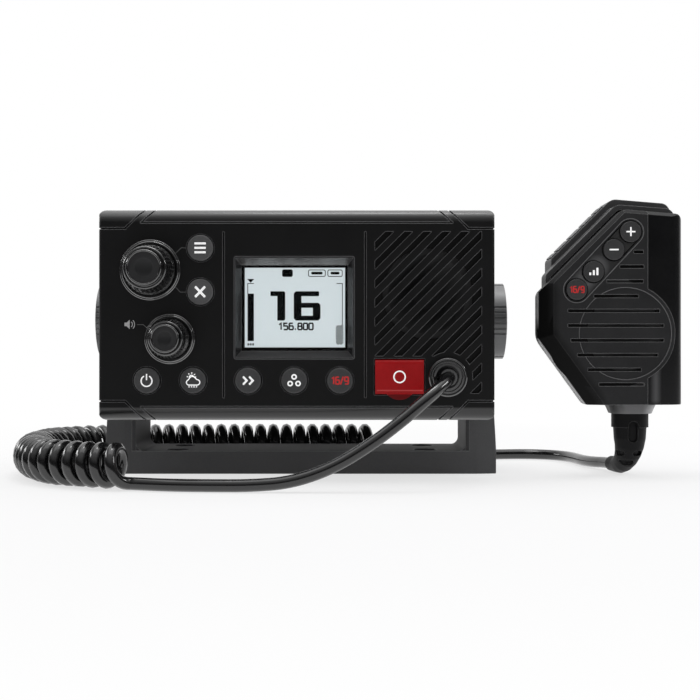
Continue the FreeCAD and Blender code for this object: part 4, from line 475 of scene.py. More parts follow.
def stroke(path, wide, closed=False):
    """A row of stations, each a left and a right (x, z) point, that follow a path with mitred corners."""
    count = len(path)
    stations = []
    for i, (x, z) in enumerate(path):
        before = path[i - 1] if i or closed else None
        after = path[(i + 1) % count] if i < count - 1 or closed else None
        sides = []
        for a, b in ((before, (x, z)), ((x, z), after)):
            if a is not None and b is not None:
                size = math.dist(a, b)
                sides.append(((a[1] - b[1]) / size, (b[0] - a[0]) / size))
        nx = sum(s[0] for s in sides) / len(sides)
        nz = sum(s[1] for s in sides) / len(sides)
        reach = wide / 2 / max(nx * nx + nz * nz, 0.25)
        stations.append(((x + nx * reach, z + nz * reach), (x - nx * reach, z - nz * reach)))
    return stations, closed


def arc(x, z, radius, start, end, count=16):
    """Points of an arc. Angles are in degrees from +X towards +Z."""
    angles = [math.radians(start + (end - start) * i / count) for i in range(count + 1)]
    return [(x + radius * math.cos(a), z + radius * math.sin(a)) for a in angles]


def ring(x, z, radius, wide):
    return stroke(arc(x, z, radius, 0, 360, 32)[:-1], wide, closed=True)


def block(x0, z0, x1, z1):
    return stroke([(x0, (z0 + z1) / 2), (x1, (z0 + z1) / 2)], z1 - z0)


def printed(name, strokes, y, material, body):
    """A thin closed layer of ink or paint, made of strokes, between two planes of constant y."""
    ink = bmesh.new()
    for stations, closed in strokes:
        rings = []
        for left, right in stations:
            rings.append([ink.verts.new((px, py, pz)) for (px, pz), py in
                          ((left, y[0]), (right, y[0]), (right, y[1]), (left, y[1]))])
        pairs = list(zip(rings, rings[1:])) + ([(rings[-1], rings[0])] if closed else [])
        for a, b in pairs:
            for i in range(4):
                ink.faces.new((a[i], b[i], b[(i + 1) % 4], a[(i + 1) % 4]))
        if not closed:
            ink.faces.new(rings[0])
            ink.faces.new(rings[-1][::-1])
    bmesh.ops.recalc_face_normals(ink, faces=ink.faces)
    piece = piece_of(name, mesh_of(name, ink), material)
    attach(piece, body)


glass = finish("clear window", (0.98, 0.99, 0.99), (1.0, 1.0, 1.0), (0.0, 0.02), grains=300.0, deep=0.0000004,
               edge=0, Transmission_Weight=1.0, IOR=1.16)
plate = bmesh.new()
for x in WINDOW_X:
    for z in WINDOW_Z:
        for y in GLASS_Y:
            plate.verts.new((x, y, z))
bmesh.ops.convex_hull(plate, input=plate.verts)
bmesh.ops.dissolve_limit(plate, angle_limit=0.01, verts=plate.verts, edges=plate.edges)
bmesh.ops.recalc_face_normals(plate, faces=plate.faces)
window = piece_of("window_plate", mesh_of("window_plate", plate), glass)
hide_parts("display_window")
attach(window, "radio")

screen_grey = finish("liquid-crystal grey", (0.30, 0.335, 0.345), (0.315, 0.35, 0.36), (0.45, 0.5),
                     grains=6000.0, deep=0.000001, edge=0, Emission_Color=(0.60, 0.665, 0.69, 1.0),
                     Emission_Strength=0.66)
dress(screen_grey, "lcd_panel")
border_black = finish("printed border black", (0.0008, 0.0008, 0.0010), (0.0012, 0.0012, 0.0014), (0.5, 0.6),
                      edge=0, Specular_IOR_Level=0.0)
printed("window_border", [
    block(WINDOW_X[0], WINDOW_Z[0], WINDOW_X[1], SCREEN_Z[0]),
    block(WINDOW_X[0], SCREEN_Z[1], WINDOW_X[1], WINDOW_Z[1]),
    block(WINDOW_X[0], SCREEN_Z[0], SCREEN_X[0], SCREEN_Z[1]),
    block(SCREEN_X[1], SCREEN_Z[0], WINDOW_X[1], SCREEN_Z[1]),
], BORDER_Y, border_black, "radio")

segment_ink = finish("dark segments", (0.0006, 0.0012, 0.0015), (0.0010, 0.0018, 0.0021), (0.5, 0.6),
                     edge=0, Specular_IOR_Level=0.0)
mm = 0.001
SCALE_LINE = 0.3 * mm


def scaled(path):
    return [(x * mm, z * mm) for x, z in path]


def cornered(x0, z0, x1, z1, left=0.0, right=0.0):
    """A block in millimetres whose left or right corners are cut off."""
    stations = [((x0 + left, z1), (x0 + left, z0)), ((x1 - right, z1), (x1 - right, z0))]
    if left:
        stations.insert(0, ((x0, z1 - left), (x0, z0 + left)))
    if right:
        stations.append(((x1, z1 - right), (x1, z0 + right)))
    return [tuple(scaled(pair)) for pair in stations], False


def rounded_box(x0, z0, x1, z1, corner, wide):
    """The outline of a box in millimetres with round corners."""
    path = []
    for x, z, turn in ((x1, z0, 270), (x1, z1, 0), (x0, z1, 90), (x0, z0, 180)):
        centre_x = x + (corner if x == x0 else -corner)
        centre_z = z + (corner if z == z0 else -corner)
        path += arc(centre_x, centre_z, corner, turn, turn + 90, 4)
    return stroke(scaled(path), wide * mm, closed=True)


BOWL = [(0.15, 0.0), (0.85, 0.0), (1.0, 0.13), (1.0, 0.45), (0.85, 0.58), (0.18, 0.58)]
FIGURES = {
    "0": (0.95, [([(0.15, 0), (0.85, 0), (1, 0.13), (1, 0.87), (0.85, 1), (0.15, 1), (0, 0.87),
                   (0, 0.13)], True)]),
    "1": (0.70, [([(0.0, 0.76), (0.5, 1.0), (0.5, 0.0)], False)]),
    "5": (0.95, [([(0.95, 1.0), (0.05, 1.0), (0.05, 0.58), (0.85, 0.58), (1.0, 0.45), (1.0, 0.13), (0.85, 0.0),
                   (0.0, 0.0)], False)]),
    "6": (0.95, [([(0.92, 1.0), (0.15, 1.0), (0.0, 0.87), (0.0, 0.13)] + BOWL, False)]),
    "8": (0.95, [([(0.15, 0.53), (0.0, 0.42), (0.0, 0.12), (0.15, 0.0), (0.85, 0.0), (1.0, 0.12), (1.0, 0.42),
                   (0.85, 0.53)], True),
                 ([(0.15, 0.55), (0.04, 0.66), (0.04, 0.88), (0.18, 1.0), (0.82, 1.0), (0.96, 0.88),
                   (0.96, 0.66), (0.85, 0.55)], False)]),
    "9": (0.95, [([(0.08, 0.0), (0.85, 0.0), (1.0, 0.13), (1.0, 0.87)] +
                  [(1 - u, 1 - v) for u, v in BOWL], False)]),
    "/": (0.80, [([(0.0, -0.08), (0.75, 1.08)], False)]),
    ".": (0.35, [([(0.0, 0.07), (0.3, 0.07)], False)]),
}


def figures(text, x, z, high, wide, gap, thick):
    """Strokes of plain figures about a middle point."""
    total = sum(FIGURES[sign][0] for sign in text) * wide + gap * (len(text) - 1)
    left = x - total / 2
    strokes = []
    for sign in text:
        advance, paths = FIGURES[sign]
        for path, closed in paths:
            strokes.append(stroke([(left + u * wide, z + (v - 0.5) * high) for u, v in path], thick, closed))
        left += advance * wide + gap
    return strokes


one = [cornered(-10.94, 76.4, -8.15, 78.36), cornered(-8.15, 66.39, -4.90, 78.36, right=0.5)]
six = [cornered(-1.40, 66.39, 1.75, 78.36, left=0.9), cornered(1.75, 76.35, 9.0, 78.36, right=0.3),
       cornered(1.75, 66.39, 6.40, 68.35), cornered(1.75, 71.60, 6.40, 73.65),
       cornered(6.40, 66.39, 9.55, 73.65, right=0.9)]
left_scale = [cornered(-20.33, 57.97, -17.75, 77.4),
              stroke(scaled([(-20.25, 77.4), (-20.25, 81.55), (-17.75, 81.55)]), SCALE_LINE)]
right_scale = [stroke(scaled([(16.16, 81.55), (18.5, 81.55), (18.5, 64.2)]), SCALE_LINE)]
arrow = ((-20.5, 83.4), (-17.6, 83.4)), ((-19.1, 81.9), (-19.0, 81.9))
pointer = [tuple(scaled(pair)) for pair in arrow], False
badge = cornered(-6.18, 84.26, -1.80, 87.33, left=0.5, right=0.5)
marks = one + six + left_scale + right_scale + [pointer, badge]
for x0, x1 in ((4.48, 11.69), (12.43, 18.62)):
    marks.append(rounded_box(x0 + 0.15, 84.45, x1 - 0.15, 87.1, corner=0.6, wide=0.3))
    marks.append(cornered(x0 + 1.3, 85.25, x1 - 1.3, 86.35, left=0.3, right=0.3))
marks += [cornered(x, 56.15, x + 0.62, 57.05) for x in (-20.33, -19.35, -18.37)]
marks += figures("156.800", -0.0005, 0.06395, high=0.0026, wide=0.0016, gap=0.00075, thick=0.00062)
printed("screen_segments", marks, INK_Y, segment_ink, "radio")


def grown_mesh(name, tree, inputs, material, body):
    """Runs a node tree on an empty mesh with its named inputs set, and keeps what it makes as plain mesh."""
    carrier = bpy.data.objects.new(name + " maker", bpy.data.meshes.new(name))
    scene.collection.objects.link(carrier)
    maker = carrier.modifiers.new("maker", "NODES")
    maker.node_group = tree
    for socket in tree.interface.items_tree:
        if socket.in_out == "INPUT" and socket.name in inputs:
            maker[socket.identifier] = inputs[socket.name]
    evaluated = carrier.evaluated_get(bpy.context.evaluated_depsgraph_get())
    mesh = bpy.data.meshes.new_from_object(evaluated)
    bpy.data.objects.remove(carrier)
    mesh.name = name
    mesh.materials.clear()
    piece = piece_of(name, mesh, material)
    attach(piece, body)


def tree_with(name, sizes):
    """An empty geometry tree. The kind of each named input is that of its default."""
    tree = bpy.data.node_groups.new(name, "GeometryNodeTree")
    tree.interface.new_socket(name="Geometry", in_out="OUTPUT", socket_type="NodeSocketGeometry")
    for label, value in sizes.items():
        kind = {int: "NodeSocketInt", float: "NodeSocketFloat", tuple: "NodeSocketVector",
                bpy.types.Material: "NodeSocketMaterial"}[type(value)]
        tree.interface.new_socket(name=label, in_out="INPUT", socket_type=kind).default_value = value
    return tree, tree.nodes.new("NodeGroupInput").outputs


def close_tree(tree, instances, start):
    """Ends a tree in real geometry with its material."""
    real = add(tree, "GeometryNodeRealizeInstances", Geometry=instances)
    coated = add(tree, "GeometryNodeSetMaterial", Geometry=real.outputs["Geometry"],
                 Material=start["Material"])
    add(tree, "NodeGroupOutput", Geometry=coated.outputs["Geometry"])


UPRIGHT = (math.radians(90), 0, 0)
hatch, start = tree_with("hatched scale", {
    "Middle": (0.0174, -0.056745, 0.0605), "Wide": 0.0024, "High": 0.0072, "Dot": (0.00068, 0.00007, 0.00068),
    "Columns": 5, "Rows": 13, "Material": segment_ink})
grid = add(hatch, "GeometryNodeMeshGrid", Size_X=start["Wide"], Size_Y=start["High"],
           Vertices_X=start["Columns"], Vertices_Y=start["Rows"])
stood = add(hatch, "GeometryNodeTransform", Geometry=grid.outputs["Mesh"], Translation=start["Middle"],
            Rotation=UPRIGHT)
dot = add(hatch, "GeometryNodeMeshCube", Size=start["Dot"])
odd = worked(hatch, "MODULO", add(hatch, "GeometryNodeInputIndex").outputs[0], 2.0)
dots = add(hatch, "GeometryNodeInstanceOnPoints", Points=stood.outputs["Geometry"], Selection=odd,
           Instance=dot.outputs["Mesh"])
close_tree(hatch, dots.outputs["Instances"], start)
grown_mesh("screen_hatch", hatch, {"Material": segment_ink}, segment_ink, "radio")

# Channel and volume knobs. Glossy black plastic caps over turned shafts, each with a satin dished face,
# moulded ribs round its side and a ring behind it. Each turns for its setting and presses in for its menu.
KNOB_FOOT_Y = -0.0628
CHANNEL_R = 0.0105
VOLUME_R = 0.0084
KNOBS = (("channel", CHANNEL_AT, CHANNEL_R, -0.0790), ("volume", VOLUME_AT, VOLUME_R, -0.0775))
DIMPLES = ((CHANNEL_AT, 0.0036), (VOLUME_AT, 0.0029))
DIMPLE_SOFT = 0.0004
FACE_SHARE = 0.58
TURNED_SIDES = 144
CREST_STEPS = 8
RIM_BACK = 0.0024
SHAFT_R = 0.003
SHAFT_END = 2.2 * mm
SLEEVE_R = 0.0056
SLEEVE_DEEP = 2.8 * mm
FACE_Y = -0.0614
RING_IN = 0.40 * mm
RING_BEADS = ((0.80 * mm, -0.0632, 0.38 * mm, 0.40 * mm), (1.52 * mm, -0.0630, 0.30 * mm, 0.22 * mm))
RING_OUT = 1.85 * mm
RIBS = 36
RIB_R = 0.0002
RIBS_FROM = 0.9 * mm
RIBS_TO = 1.2 * mm
RIBS_AT = 0.898
RIBS_LEAN = 0.160
knob_black = finish("glossy black knob", (0.003, 0.003, 0.0033), (0.005, 0.005, 0.0055), (0.22, 0.30),
                    grains=1500.0, deep=0.000002, edge=0, Specular_IOR_Level=0.4, Coat_Weight=1.0,
                    Coat_Roughness=0.06, Coat_IOR=2.0)
ring_black = finish("bright black ring", (0.004, 0.004, 0.0043), (0.006, 0.006, 0.0065), (0.22, 0.30),
                    grains=1500.0, deep=0.000002, edge=0, Specular_IOR_Level=0.5, Coat_Weight=1.0,
                    Coat_Roughness=0.05, Coat_IOR=2.7)
dished = finish("satin knob face", (0.016, 0.016, 0.017), (0.026, 0.026, 0.027), (0.45, 0.55), grains=2200.0,
                deep=0.000008, edge=0, Specular_IOR_Level=0.3)
# The dimples are painted darker, as painted shade in the hollow of each face.
for centre, radius in DIMPLES:
    tone(dished, spot(dished, centre, radius, DIMPLE_SOFT), (0.012, 0.012, 0.013))


def crest(radius, y, half, drop):
    """Profile points over the top of one rounded ring."""
    turns = [math.pi * i / CREST_STEPS for i in range(CREST_STEPS + 1)]
    return [(radius - half * math.cos(a), y + drop * (1 - math.sin(a))) for a in turns]


def knob_profile(radius, front):
    """(radius, y) from the middle of the dimple out over the face ring and the rim, and back into the bore."""
    share = radius / CHANNEL_R
    face = [(0.0, 1.20), (1.2, 1.14), (2.4, 0.95), (3.1, 0.72), (3.55, 0.50), (4.2, 0.46), (6.05, 0.50)]
    points = [(r * share * mm, front + deep * mm) for r, deep in face]
    points += crest(6.62 * share * mm, front, 0.48 * mm, 0.5 * mm)
    points += [(7.12 * share * mm, front + 1.3 * mm), (7.22 * share * mm, front + 3.0 * mm)]
    points += crest(8.0 * share * mm, front + RIM_BACK, 0.58 * mm, 0.62 * mm)
    points += [(8.62 * share * mm, front + RIM_BACK + 1.0 * mm)]
    points += [(0.985 * radius, KNOB_FOOT_Y - 0.9 * mm), (radius, KNOB_FOOT_Y - 0.4 * mm)]
    points += [(radius, KNOB_FOOT_Y), (SLEEVE_R, KNOB_FOOT_Y), (SLEEVE_R, KNOB_FOOT_Y - SLEEVE_DEEP)]
    points += [(SHAFT_R, KNOB_FOOT_Y - SLEEVE_DEEP), (SHAFT_R, front + SHAFT_END)]
    return points + [(0.0, front + SHAFT_END)]


def turned(name, centre, profile, face_radius, *materials):
    """A closed body turned about a line along Y. The part inside the face radius takes the second material."""
    lathe = bmesh.new()
    rings = []
    for radius, y in profile:
        if rings and (radius, y) == profile[0]:
            rings.append(rings[0])
            continue
        turns = [math.tau * i / TURNED_SIDES for i in range(TURNED_SIDES if radius else 1)]
        rings.append([lathe.verts.new((centre[0] + radius * math.cos(a), y, centre[1] + radius * math.sin(a)))
                      for a in turns])
    for (radius, _), a, b in zip(profile[1:], rings, rings[1:]):
        for i in range(TURNED_SIDES):
            j = (i + 1) % TURNED_SIDES
            corners = [a[i % len(a)], a[j % len(a)], b[j % len(b)], b[i % len(b)]]
            made = lathe.faces.new(list(dict.fromkeys(corners)))
            made.smooth = True
            made.material_index = 1 if radius <= face_radius and a is not rings[-2] else 0
    bmesh.ops.recalc_face_normals(lathe, faces=lathe.faces)
    mesh = mesh_of(name, lathe)
    mesh.set_sharp_from_angle(angle=math.radians(50))
    return piece_of(name, mesh, *materials)


def beaded(name, centre, inner, beads, outer, back, material):
    """A closed trim ring of rounded beads, each (radius, y, half width, drop), set into the face."""
    profile = [(inner, back[0])]
    for bead in beads:
        profile += crest(*bead)
    piece = turned(name, centre, profile + [(outer, back[1]), (inner, back[0])], 0, material)
    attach(piece, "radio")


ribbed, start = tree_with("knob ribs", {
    "Centre": (0.0, 0.0, 0.0), "Radius": 0.01, "Lean": 0.05, "Long": 0.01, "Thick": 0.0003, "Count": 36,
    "Material": knob_black})
hoop = add(ribbed, "GeometryNodeMeshCircle", Vertices=start["Count"], Radius=start["Radius"])
rib = add(ribbed, "GeometryNodeMeshCylinder", Vertices=8, Radius=start["Thick"], Depth=start["Long"])
angle = worked(ribbed, "MULTIPLY", add(ribbed, "GeometryNodeInputIndex").outputs[0],
               worked(ribbed, "DIVIDE", math.tau, start["Count"]))
lean = add(ribbed, "ShaderNodeCombineXYZ", Y=start["Lean"], Z=angle)
spread = add(ribbed, "GeometryNodeInstanceOnPoints", Points=hoop.outputs["Mesh"],
             Instance=rib.outputs["Mesh"], Rotation=lean.outputs[0])
facing = add(ribbed, "GeometryNodeTransform", Geometry=spread.outputs["Instances"],
             Translation=start["Centre"], Rotation=UPRIGHT)
close_tree(ribbed, facing.outputs["Geometry"], start)

for knob, centre, radius, front in KNOBS:
    profile = knob_profile(radius, front)
    piece = turned(knob + "_cap", centre, profile, FACE_SHARE * radius, knob_black, dished)
    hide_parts(knob + "_knob")
    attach(piece, knob + "_dial")
    beads = [(radius + out, y, half, drop) for out, y, half, drop in RING_BEADS]
    beaded(knob + "_ring_trim", centre, radius + RING_IN, beads, radius + RING_OUT, (FACE_Y, FACE_Y),
           ring_black)
    top, foot = front + RIM_BACK + RIBS_FROM, KNOB_FOOT_Y - RIBS_TO
    grown_mesh(knob + "_ribs", ribbed, {
        "Centre": (centre[0], (top + foot) / 2, centre[1]), "Radius": RIBS_AT * radius,
        "Lean": -math.atan(RIBS_LEAN * radius / (foot - top)), "Long": foot - top, "Thick": RIB_R,
        "Count": RIBS, "Material": knob_black}, knob_black, knob + "_dial")

# Keys. Grey rubber caps of one keypad mat, each a little proud of the face, with a white mark on top.
# The mat and the caps' stems press the switches of the board behind them.
KEY_FRONT = (-0.06256, -0.06249)
# Both key rubbers have a rim colour that is a painted highlight along their edges.
key_grey = finish("grey key rubber", (0.062, 0.062, 0.063), (0.102, 0.102, 0.104), (0.46, 0.58),
                  grains=3000.0, deep=0.000012, edge=0.0006, rim=(0.30, 0.30, 0.30), shine=0.30,
                  Specular_IOR_Level=0.4)
key_dark = finish("dark key rubber", (0.034, 0.034, 0.035), (0.058, 0.058, 0.060), (0.44, 0.56),
                  grains=3000.0, deep=0.000012, edge=0.0008, rim=(0.26, 0.26, 0.26), shine=0.28,
                  Specular_IOR_Level=0.4)
dress(key_grey, "menu_key", "cancel_key", "keypad_mat")
dress(key_dark, "power_key", "weather_key", "scan_key", "watch_key", "priority_key")
# The white print glows faintly: painted light, since it is no lamp.
mark_white = finish("white key print", (0.94, 0.94, 0.94), (0.98, 0.98, 0.98), (0.45, 0.55), deep=0.000003,
                    edge=0, Emission_Color=WHITE, Emission_Strength=0.32)
mark_red = finish("red key print", (0.62, 0.012, 0.012), (0.72, 0.02, 0.02), (0.45, 0.55), deep=0.000003,
                  edge=0)


def moved(x, z, strokes):
    """Moves strokes drawn in millimetres about nought to a middle point in metres."""
    return [([((x + a[0] * mm, z + a[1] * mm), (x + b[0] * mm, z + b[1] * mm)) for a, b in stations], closed)
            for stations, closed in strokes]


bars = [block(-2.3, z - 0.42, 2.3, z + 0.42) for z in (-1.8, 0.0, 1.8)]
cross = [stroke([(-2.0, -2.1), (2.0, 2.1)], 0.95), stroke([(-2.0, 2.1), (-0.36, 0.38)], 0.95),
         stroke([(0.36, -0.38), (2.0, -2.1)], 0.95)]
power = [stroke(arc(0, -0.15, 2.2, 118, 422, 26), 0.52), block(-0.26, 0.2, 0.26, 2.7)]
cloud = arc(-1.55, -0.75, 1.05, 270, 110, 8) + arc(-0.2, 0.35, 1.35, 165, 35, 8)
cloud += arc(1.75, -0.7, 1.1, 95, -90, 8)
weather = [stroke(cloud, 0.45, closed=True), stroke(arc(-0.55, 1.35, 0.85, 195, 10, 8), 0.42)]
weather += [stroke([(-0.55 + 1.35 * math.cos(a), 1.45 + 1.35 * math.sin(a)),
                    (-0.55 + 1.9 * math.cos(a), 1.45 + 1.9 * math.sin(a))], 0.45)
            for a in (math.radians(d) for d in (175, 130, 85, 40, 0))]
weather += [block(x - 0.22, -2.8, x + 0.22, -2.15) for x in (-1.5, -0.5, 0.5, 1.5)]
scan = [stroke([(x, -1.6), (x + 1.5, 0.0), (x, 1.6)], 0.8) for x in (-2.0, 0.5)]
watch = [ring(x, z, 0.85, 0.6) for x, z in ((0.0, 1.5), (-1.6, -1.2), (1.6, -1.2))]
for body, x, z, strokes in (("menu", -0.0391, 0.0957, bars), ("cancel", -0.0391, 0.0779, cross),
                            ("power", -0.0608, 0.0419, power), ("weather", -0.04205, 0.0419, weather),
                            ("scan", -0.0197, 0.0419, scan), ("watch", -0.0010, 0.0419, watch)):
    printed(body + "_mark", moved(x, z, strokes), KEY_FRONT, mark_white, body)
red_figures = figures("16/9", 0.0176, 0.0419, high=0.0028, wide=0.00145, gap=0.00055, thick=0.00060)
printed("priority_figures", red_figures, KEY_FRONT, mark_red, "priority")

# Face print. Hair-thin grey lines tie the knobs to their keys, and a small loudspeaker stands at the
# volume knob's line. They are pad-printed on the moulding.
FACE_PRINT = (-0.06154, -0.06149)
HAIR = 0.22 * mm
WAVE_LINE = 0.3 * mm
line_grey = finish("grey face print", (0.10, 0.10, 0.10), (0.13, 0.13, 0.13), (0.5, 0.6), deep=0.000002,
                   edge=0)
leaders = [stroke(scaled(path), HAIR) for path in (
    [(-44.6, 95.7), (-46.8, 95.85), (-49.9, 92.9)], [(-44.6, 77.8), (-47.3, 77.8), (-49.9, 80.7)],
    [(-64.8, 64.6), (-62.3, 64.6), (-60.3, 62.9)])]
printed("face_lines", leaders, FACE_PRINT, line_grey, "radio")
label_grey = finish("pale face print", (0.42, 0.42, 0.42), (0.5, 0.5, 0.5), (0.5, 0.6), deep=0.000002, edge=0)
horn = ((-69.1, 65.4), (-69.1, 64.0)), ((-67.8, 66.6), (-67.8, 62.8))
speaker_mark = [
    block(-69.9 * mm, 64.0 * mm, -69.1 * mm, 65.4 * mm),
    ([tuple(scaled(pair)) for pair in horn], False),
    stroke(scaled(arc(-68.2, 64.7, 1.5, -45, 45, 8)), WAVE_LINE),
    stroke(scaled(arc(-68.2, 64.7, 2.4, -45, 45, 8)), WAVE_LINE),
]
printed("volume_mark", speaker_mark, FACE_PRINT, label_grey, "radio")

# Distress flap. A spring-hinged cover of clear red plastic that lifts off a red button. Its round tab
# below the edge takes a finger tip, and a plain white ring marks the middle.
# The flap's rim colour is a painted highlight along its edges.
flap_red = finish("clear red plastic", (0.34, 0.0025, 0.004), (0.43, 0.0045, 0.007), (0.28, 0.36),
                  grains=500.0, deep=0.000003, edge=0.0003, rim=(0.60, 0.03, 0.035), Specular_IOR_Level=0.2)
FLAP_FRONT = (-0.06236, -0.06229)
FLAP_TAB = ((0.0380, 0.0341), (0.0455, 0.0341))
FLAP_LIP = ((0.0326, 0.0379), (0.0509, 0.0379))
# The tab is painted dark red as painted shade where it tilts down, and a lighter line along the lip is a
# painted highlight.
tone(flap_red, zone(flap_red, *FLAP_TAB, 0.0023, 0.0002), (0.14, 0.002, 0.003))
tone(flap_red, zone(flap_red, *FLAP_LIP, 0.00028), (0.55, 0.06, 0.06))
dress(flap_red, "distress_cover", "distress_button")
printed("flap_mark", moved(0.04175, 0.0434, [ring(0, 0, 2.3, 0.55)]), FLAP_FRONT, mark_white, "flap")

# Cord gland. A glossy turned boss with a dished face and a rubber snout, where the cord leaves the radio.
# It is clamped by a nut behind the face, and two rounded beads run round it.
GLAND_AT = (0.0613, 0.0432)
GLAND_BEADS = ((0.0060, -0.06385, 0.30 * mm, 0.25 * mm), (0.0073, -0.06410, 0.62 * mm, 0.50 * mm))
gland_black = finish("glossy gland", (0.003, 0.003, 0.0033), (0.005, 0.005, 0.0055), (0.18, 0.26), grains=700.0,
                     deep=0.000002, edge=0.0003, Specular_IOR_Level=0.4, Coat_Weight=1.0, Coat_Roughness=0.07,
                     Coat_IOR=2.0)
dress(gland_black, "cord_gland")
beaded("gland_beads", GLAND_AT, 0.0057, GLAND_BEADS, 0.0080, (-0.0620, FACE_Y), gland_black)

# Loudspeaker, boards and controls inside. A pressed-steel speaker, glass-epoxy boards with their parts,
# two encoders on the front board, and the small screws and holders that keep them.
board_green = finish("green laminate", (0.012, 0.085, 0.035), (0.02, 0.12, 0.05), (0.3, 0.42), grains=1200.0,
                     deep=0.000006, edge=0.0001)
steel = finish("plain steel", (0.50, 0.50, 0.51), (0.62, 0.62, 0.63), (0.28, 0.4), grains=900.0, deep=0.000004,
               edge=0.00015, Metallic=1.0)
holder_black = finish("holder black", (0.015, 0.015, 0.016), (0.025, 0.025, 0.026), (0.5, 0.6), edge=0.0002)
seal_black = finish("seal rubber", (0.012, 0.012, 0.012), (0.02, 0.02, 0.02), (0.6, 0.75), edge=0.0002)
brass = finish("turned brass", (0.62, 0.46, 0.20), (0.74, 0.56, 0.26), (0.25, 0.35), grains=900.0,
               deep=0.000004, edge=0.0002, Metallic=1.0)
dress(board_green, "front_board", "main_board", "mic_board")
dress(steel, "board_screws", "case_screws", "rotary_encoders", "channel_plunger", "volume_plunger",
      "channel_shaft", "volume_shaft", "distress_spring", "left_knob_stud", "right_knob_stud",
      "mic_screws", "mic_hanger_stud")
dress(holder_black, "distress_hinge_pin", "lcd_holder", "ptt_switch", "speaker", "mic_speaker")
dress(seal_black, "case_gasket", "friction_washers", "mic_keypad_mat")
dress(brass, "mount_inserts")

# Rear chassis. A black powder-coated casting with cooling fins on its back and top, which carries the
# antenna socket and the power lead's gland.
# The casting's rim colour is a painted highlight along its edges.
chassis_black = finish("powder-coated casting", (0.012, 0.012, 0.013), (0.022, 0.022, 0.023), (0.5, 0.65),
                       grains=1400.0, deep=0.00003, edge=0.0004, rim=(0.05, 0.05, 0.05))
dress(chassis_black, "rear_chassis", "heat_sink")
nickel = finish("nickel plate", (0.55, 0.54, 0.50), (0.68, 0.66, 0.62), (0.16, 0.26), grains=700.0,
                deep=0.000003, edge=0.0002, Metallic=1.0)
dress(nickel, "antenna_socket")
dress(seal_black, "power_gland")

# Gimbal bracket. A thick U of dark grey moulded plastic, screwed to the shelf through its plate, with
# the radio hung between its legs. Two satin grips clamp it there.
# The bracket's rim colour is a painted highlight along its edges.
bracket_grey = finish("dark grey bracket", (0.088, 0.088, 0.090), (0.112, 0.112, 0.115), (0.58, 0.70),
                      grains=1600.0, deep=0.000012, edge=0.0006, rim=(0.32, 0.32, 0.325), shine=0.25,
                      Specular_IOR_Level=0.3)
dress(bracket_grey, "gimbal_bracket")
# The grips' rim colour is a painted highlight along their edges.
grip_grey = finish("satin grip", (0.075, 0.077, 0.080), (0.10, 0.102, 0.106), (0.32, 0.42), grains=1600.0,
                   deep=0.00001, edge=0.0003, rim=(0.2, 0.2, 0.2), Specular_IOR_Level=1.0, Coat_Weight=0.5,
                   Coat_Roughness=0.3)
dress(grip_grey, "left_mount_knob", "right_mount_knob")

# Microphone shells. Two black mouldings with a glossy cover on the right side, screwed together round
# the capsule, and a talk bar along the slanting left side.
# The shell's rim colour is a painted highlight along its edges.
mic_black = finish("grained black microphone", (0.040, 0.040, 0.041), (0.058, 0.058, 0.060), (0.44, 0.54),
                   grains=2200.0, deep=0.00001, edge=0.00045, rim=(0.36, 0.36, 0.365), shine=0.25,
                   Specular_IOR_Level=0.35)
# The neck band is painted pale grey as a painted highlight, its left end painted darker as shade and its right
# end much lighter as a highlight.
MIC_NECK = ((0.1372, 0.0288), (0.1488, 0.0288))
NECK_LEFT = (0.1320, 0.0288)
NECK_RIGHT = (0.1530, 0.0288)
tone(mic_black, zone(mic_black, *MIC_NECK, 0.0030), (0.22, 0.22, 0.223))
tone(mic_black, zone(mic_black, NECK_LEFT, NECK_LEFT, 0.0075, 0.0050), (0.012, 0.012, 0.012))
tone(mic_black, zone(mic_black, NECK_RIGHT, NECK_RIGHT, 0.0065, 0.0050), (0.50, 0.50, 0.505))
# The talk bar's rim colour is a painted highlight along its edges.
talk_black = finish("talk bar rubber", (0.075, 0.075, 0.077), (0.105, 0.105, 0.108), (0.44, 0.54),
                    grains=2200.0, deep=0.00001, edge=0.0004, rim=(0.40, 0.40, 0.405), Specular_IOR_Level=0.4)
# The front shell's rim colour is a painted highlight along its edges.
bevel_black = finish("black front shell", (0.020, 0.020, 0.021), (0.030, 0.030, 0.031), (0.46, 0.56),
                     grains=2200.0, deep=0.00001, edge=0.00045, rim=(0.25, 0.25, 0.253), shine=0.28,
                     Specular_IOR_Level=0.12)
MIC_LEFT = (0.1005, 0.0587)
# Along the left and lower-left sides the bevel is painted near black as painted shade, with a thin painted
# highlight along its outer edge.
for far, lit in (((0.1005, 0.0781), 0.30), ((0.1204, 0.0312), 0.60)):
    tone(bevel_black, zone(bevel_black, MIC_LEFT, far, 0.0095, 0.0055), (0.0015, 0.0015, 0.0015))
    tone(bevel_black, zone(bevel_black, MIC_LEFT, far, 0.0008, 0.0004), (lit, lit, lit))
MIC_DISH = ((0.1370, 0.0612), 0.01935)
DISH_DEEP = 0.0004
SLOT_Y = (-0.04588, -0.04572)
tree = bevel_black.node_tree
depth = place_in(tree, "Object")["Y"]
from_face = worked(tree, "MULTIPLY_ADD", spot(bevel_black, *MIC_DISH), -DISH_DEEP, depth)
sunk = ranged(tree, from_face, *SLOT_Y)
# The slots are painted near black inside: painted shade in the recesses.
MIC_SLOTS = (((0.1262, 0.0600), (0.1335, 0.0600), 0.0215), ((0.1385, 0.0925), (0.1428, 0.0885), 0.0065))
for first, last, radius in MIC_SLOTS:
    in_slot = worked(tree, "MULTIPLY", sunk, zone(bevel_black, first, last, radius))
    tone(bevel_black, in_slot, (0.0012, 0.0012, 0.0012))
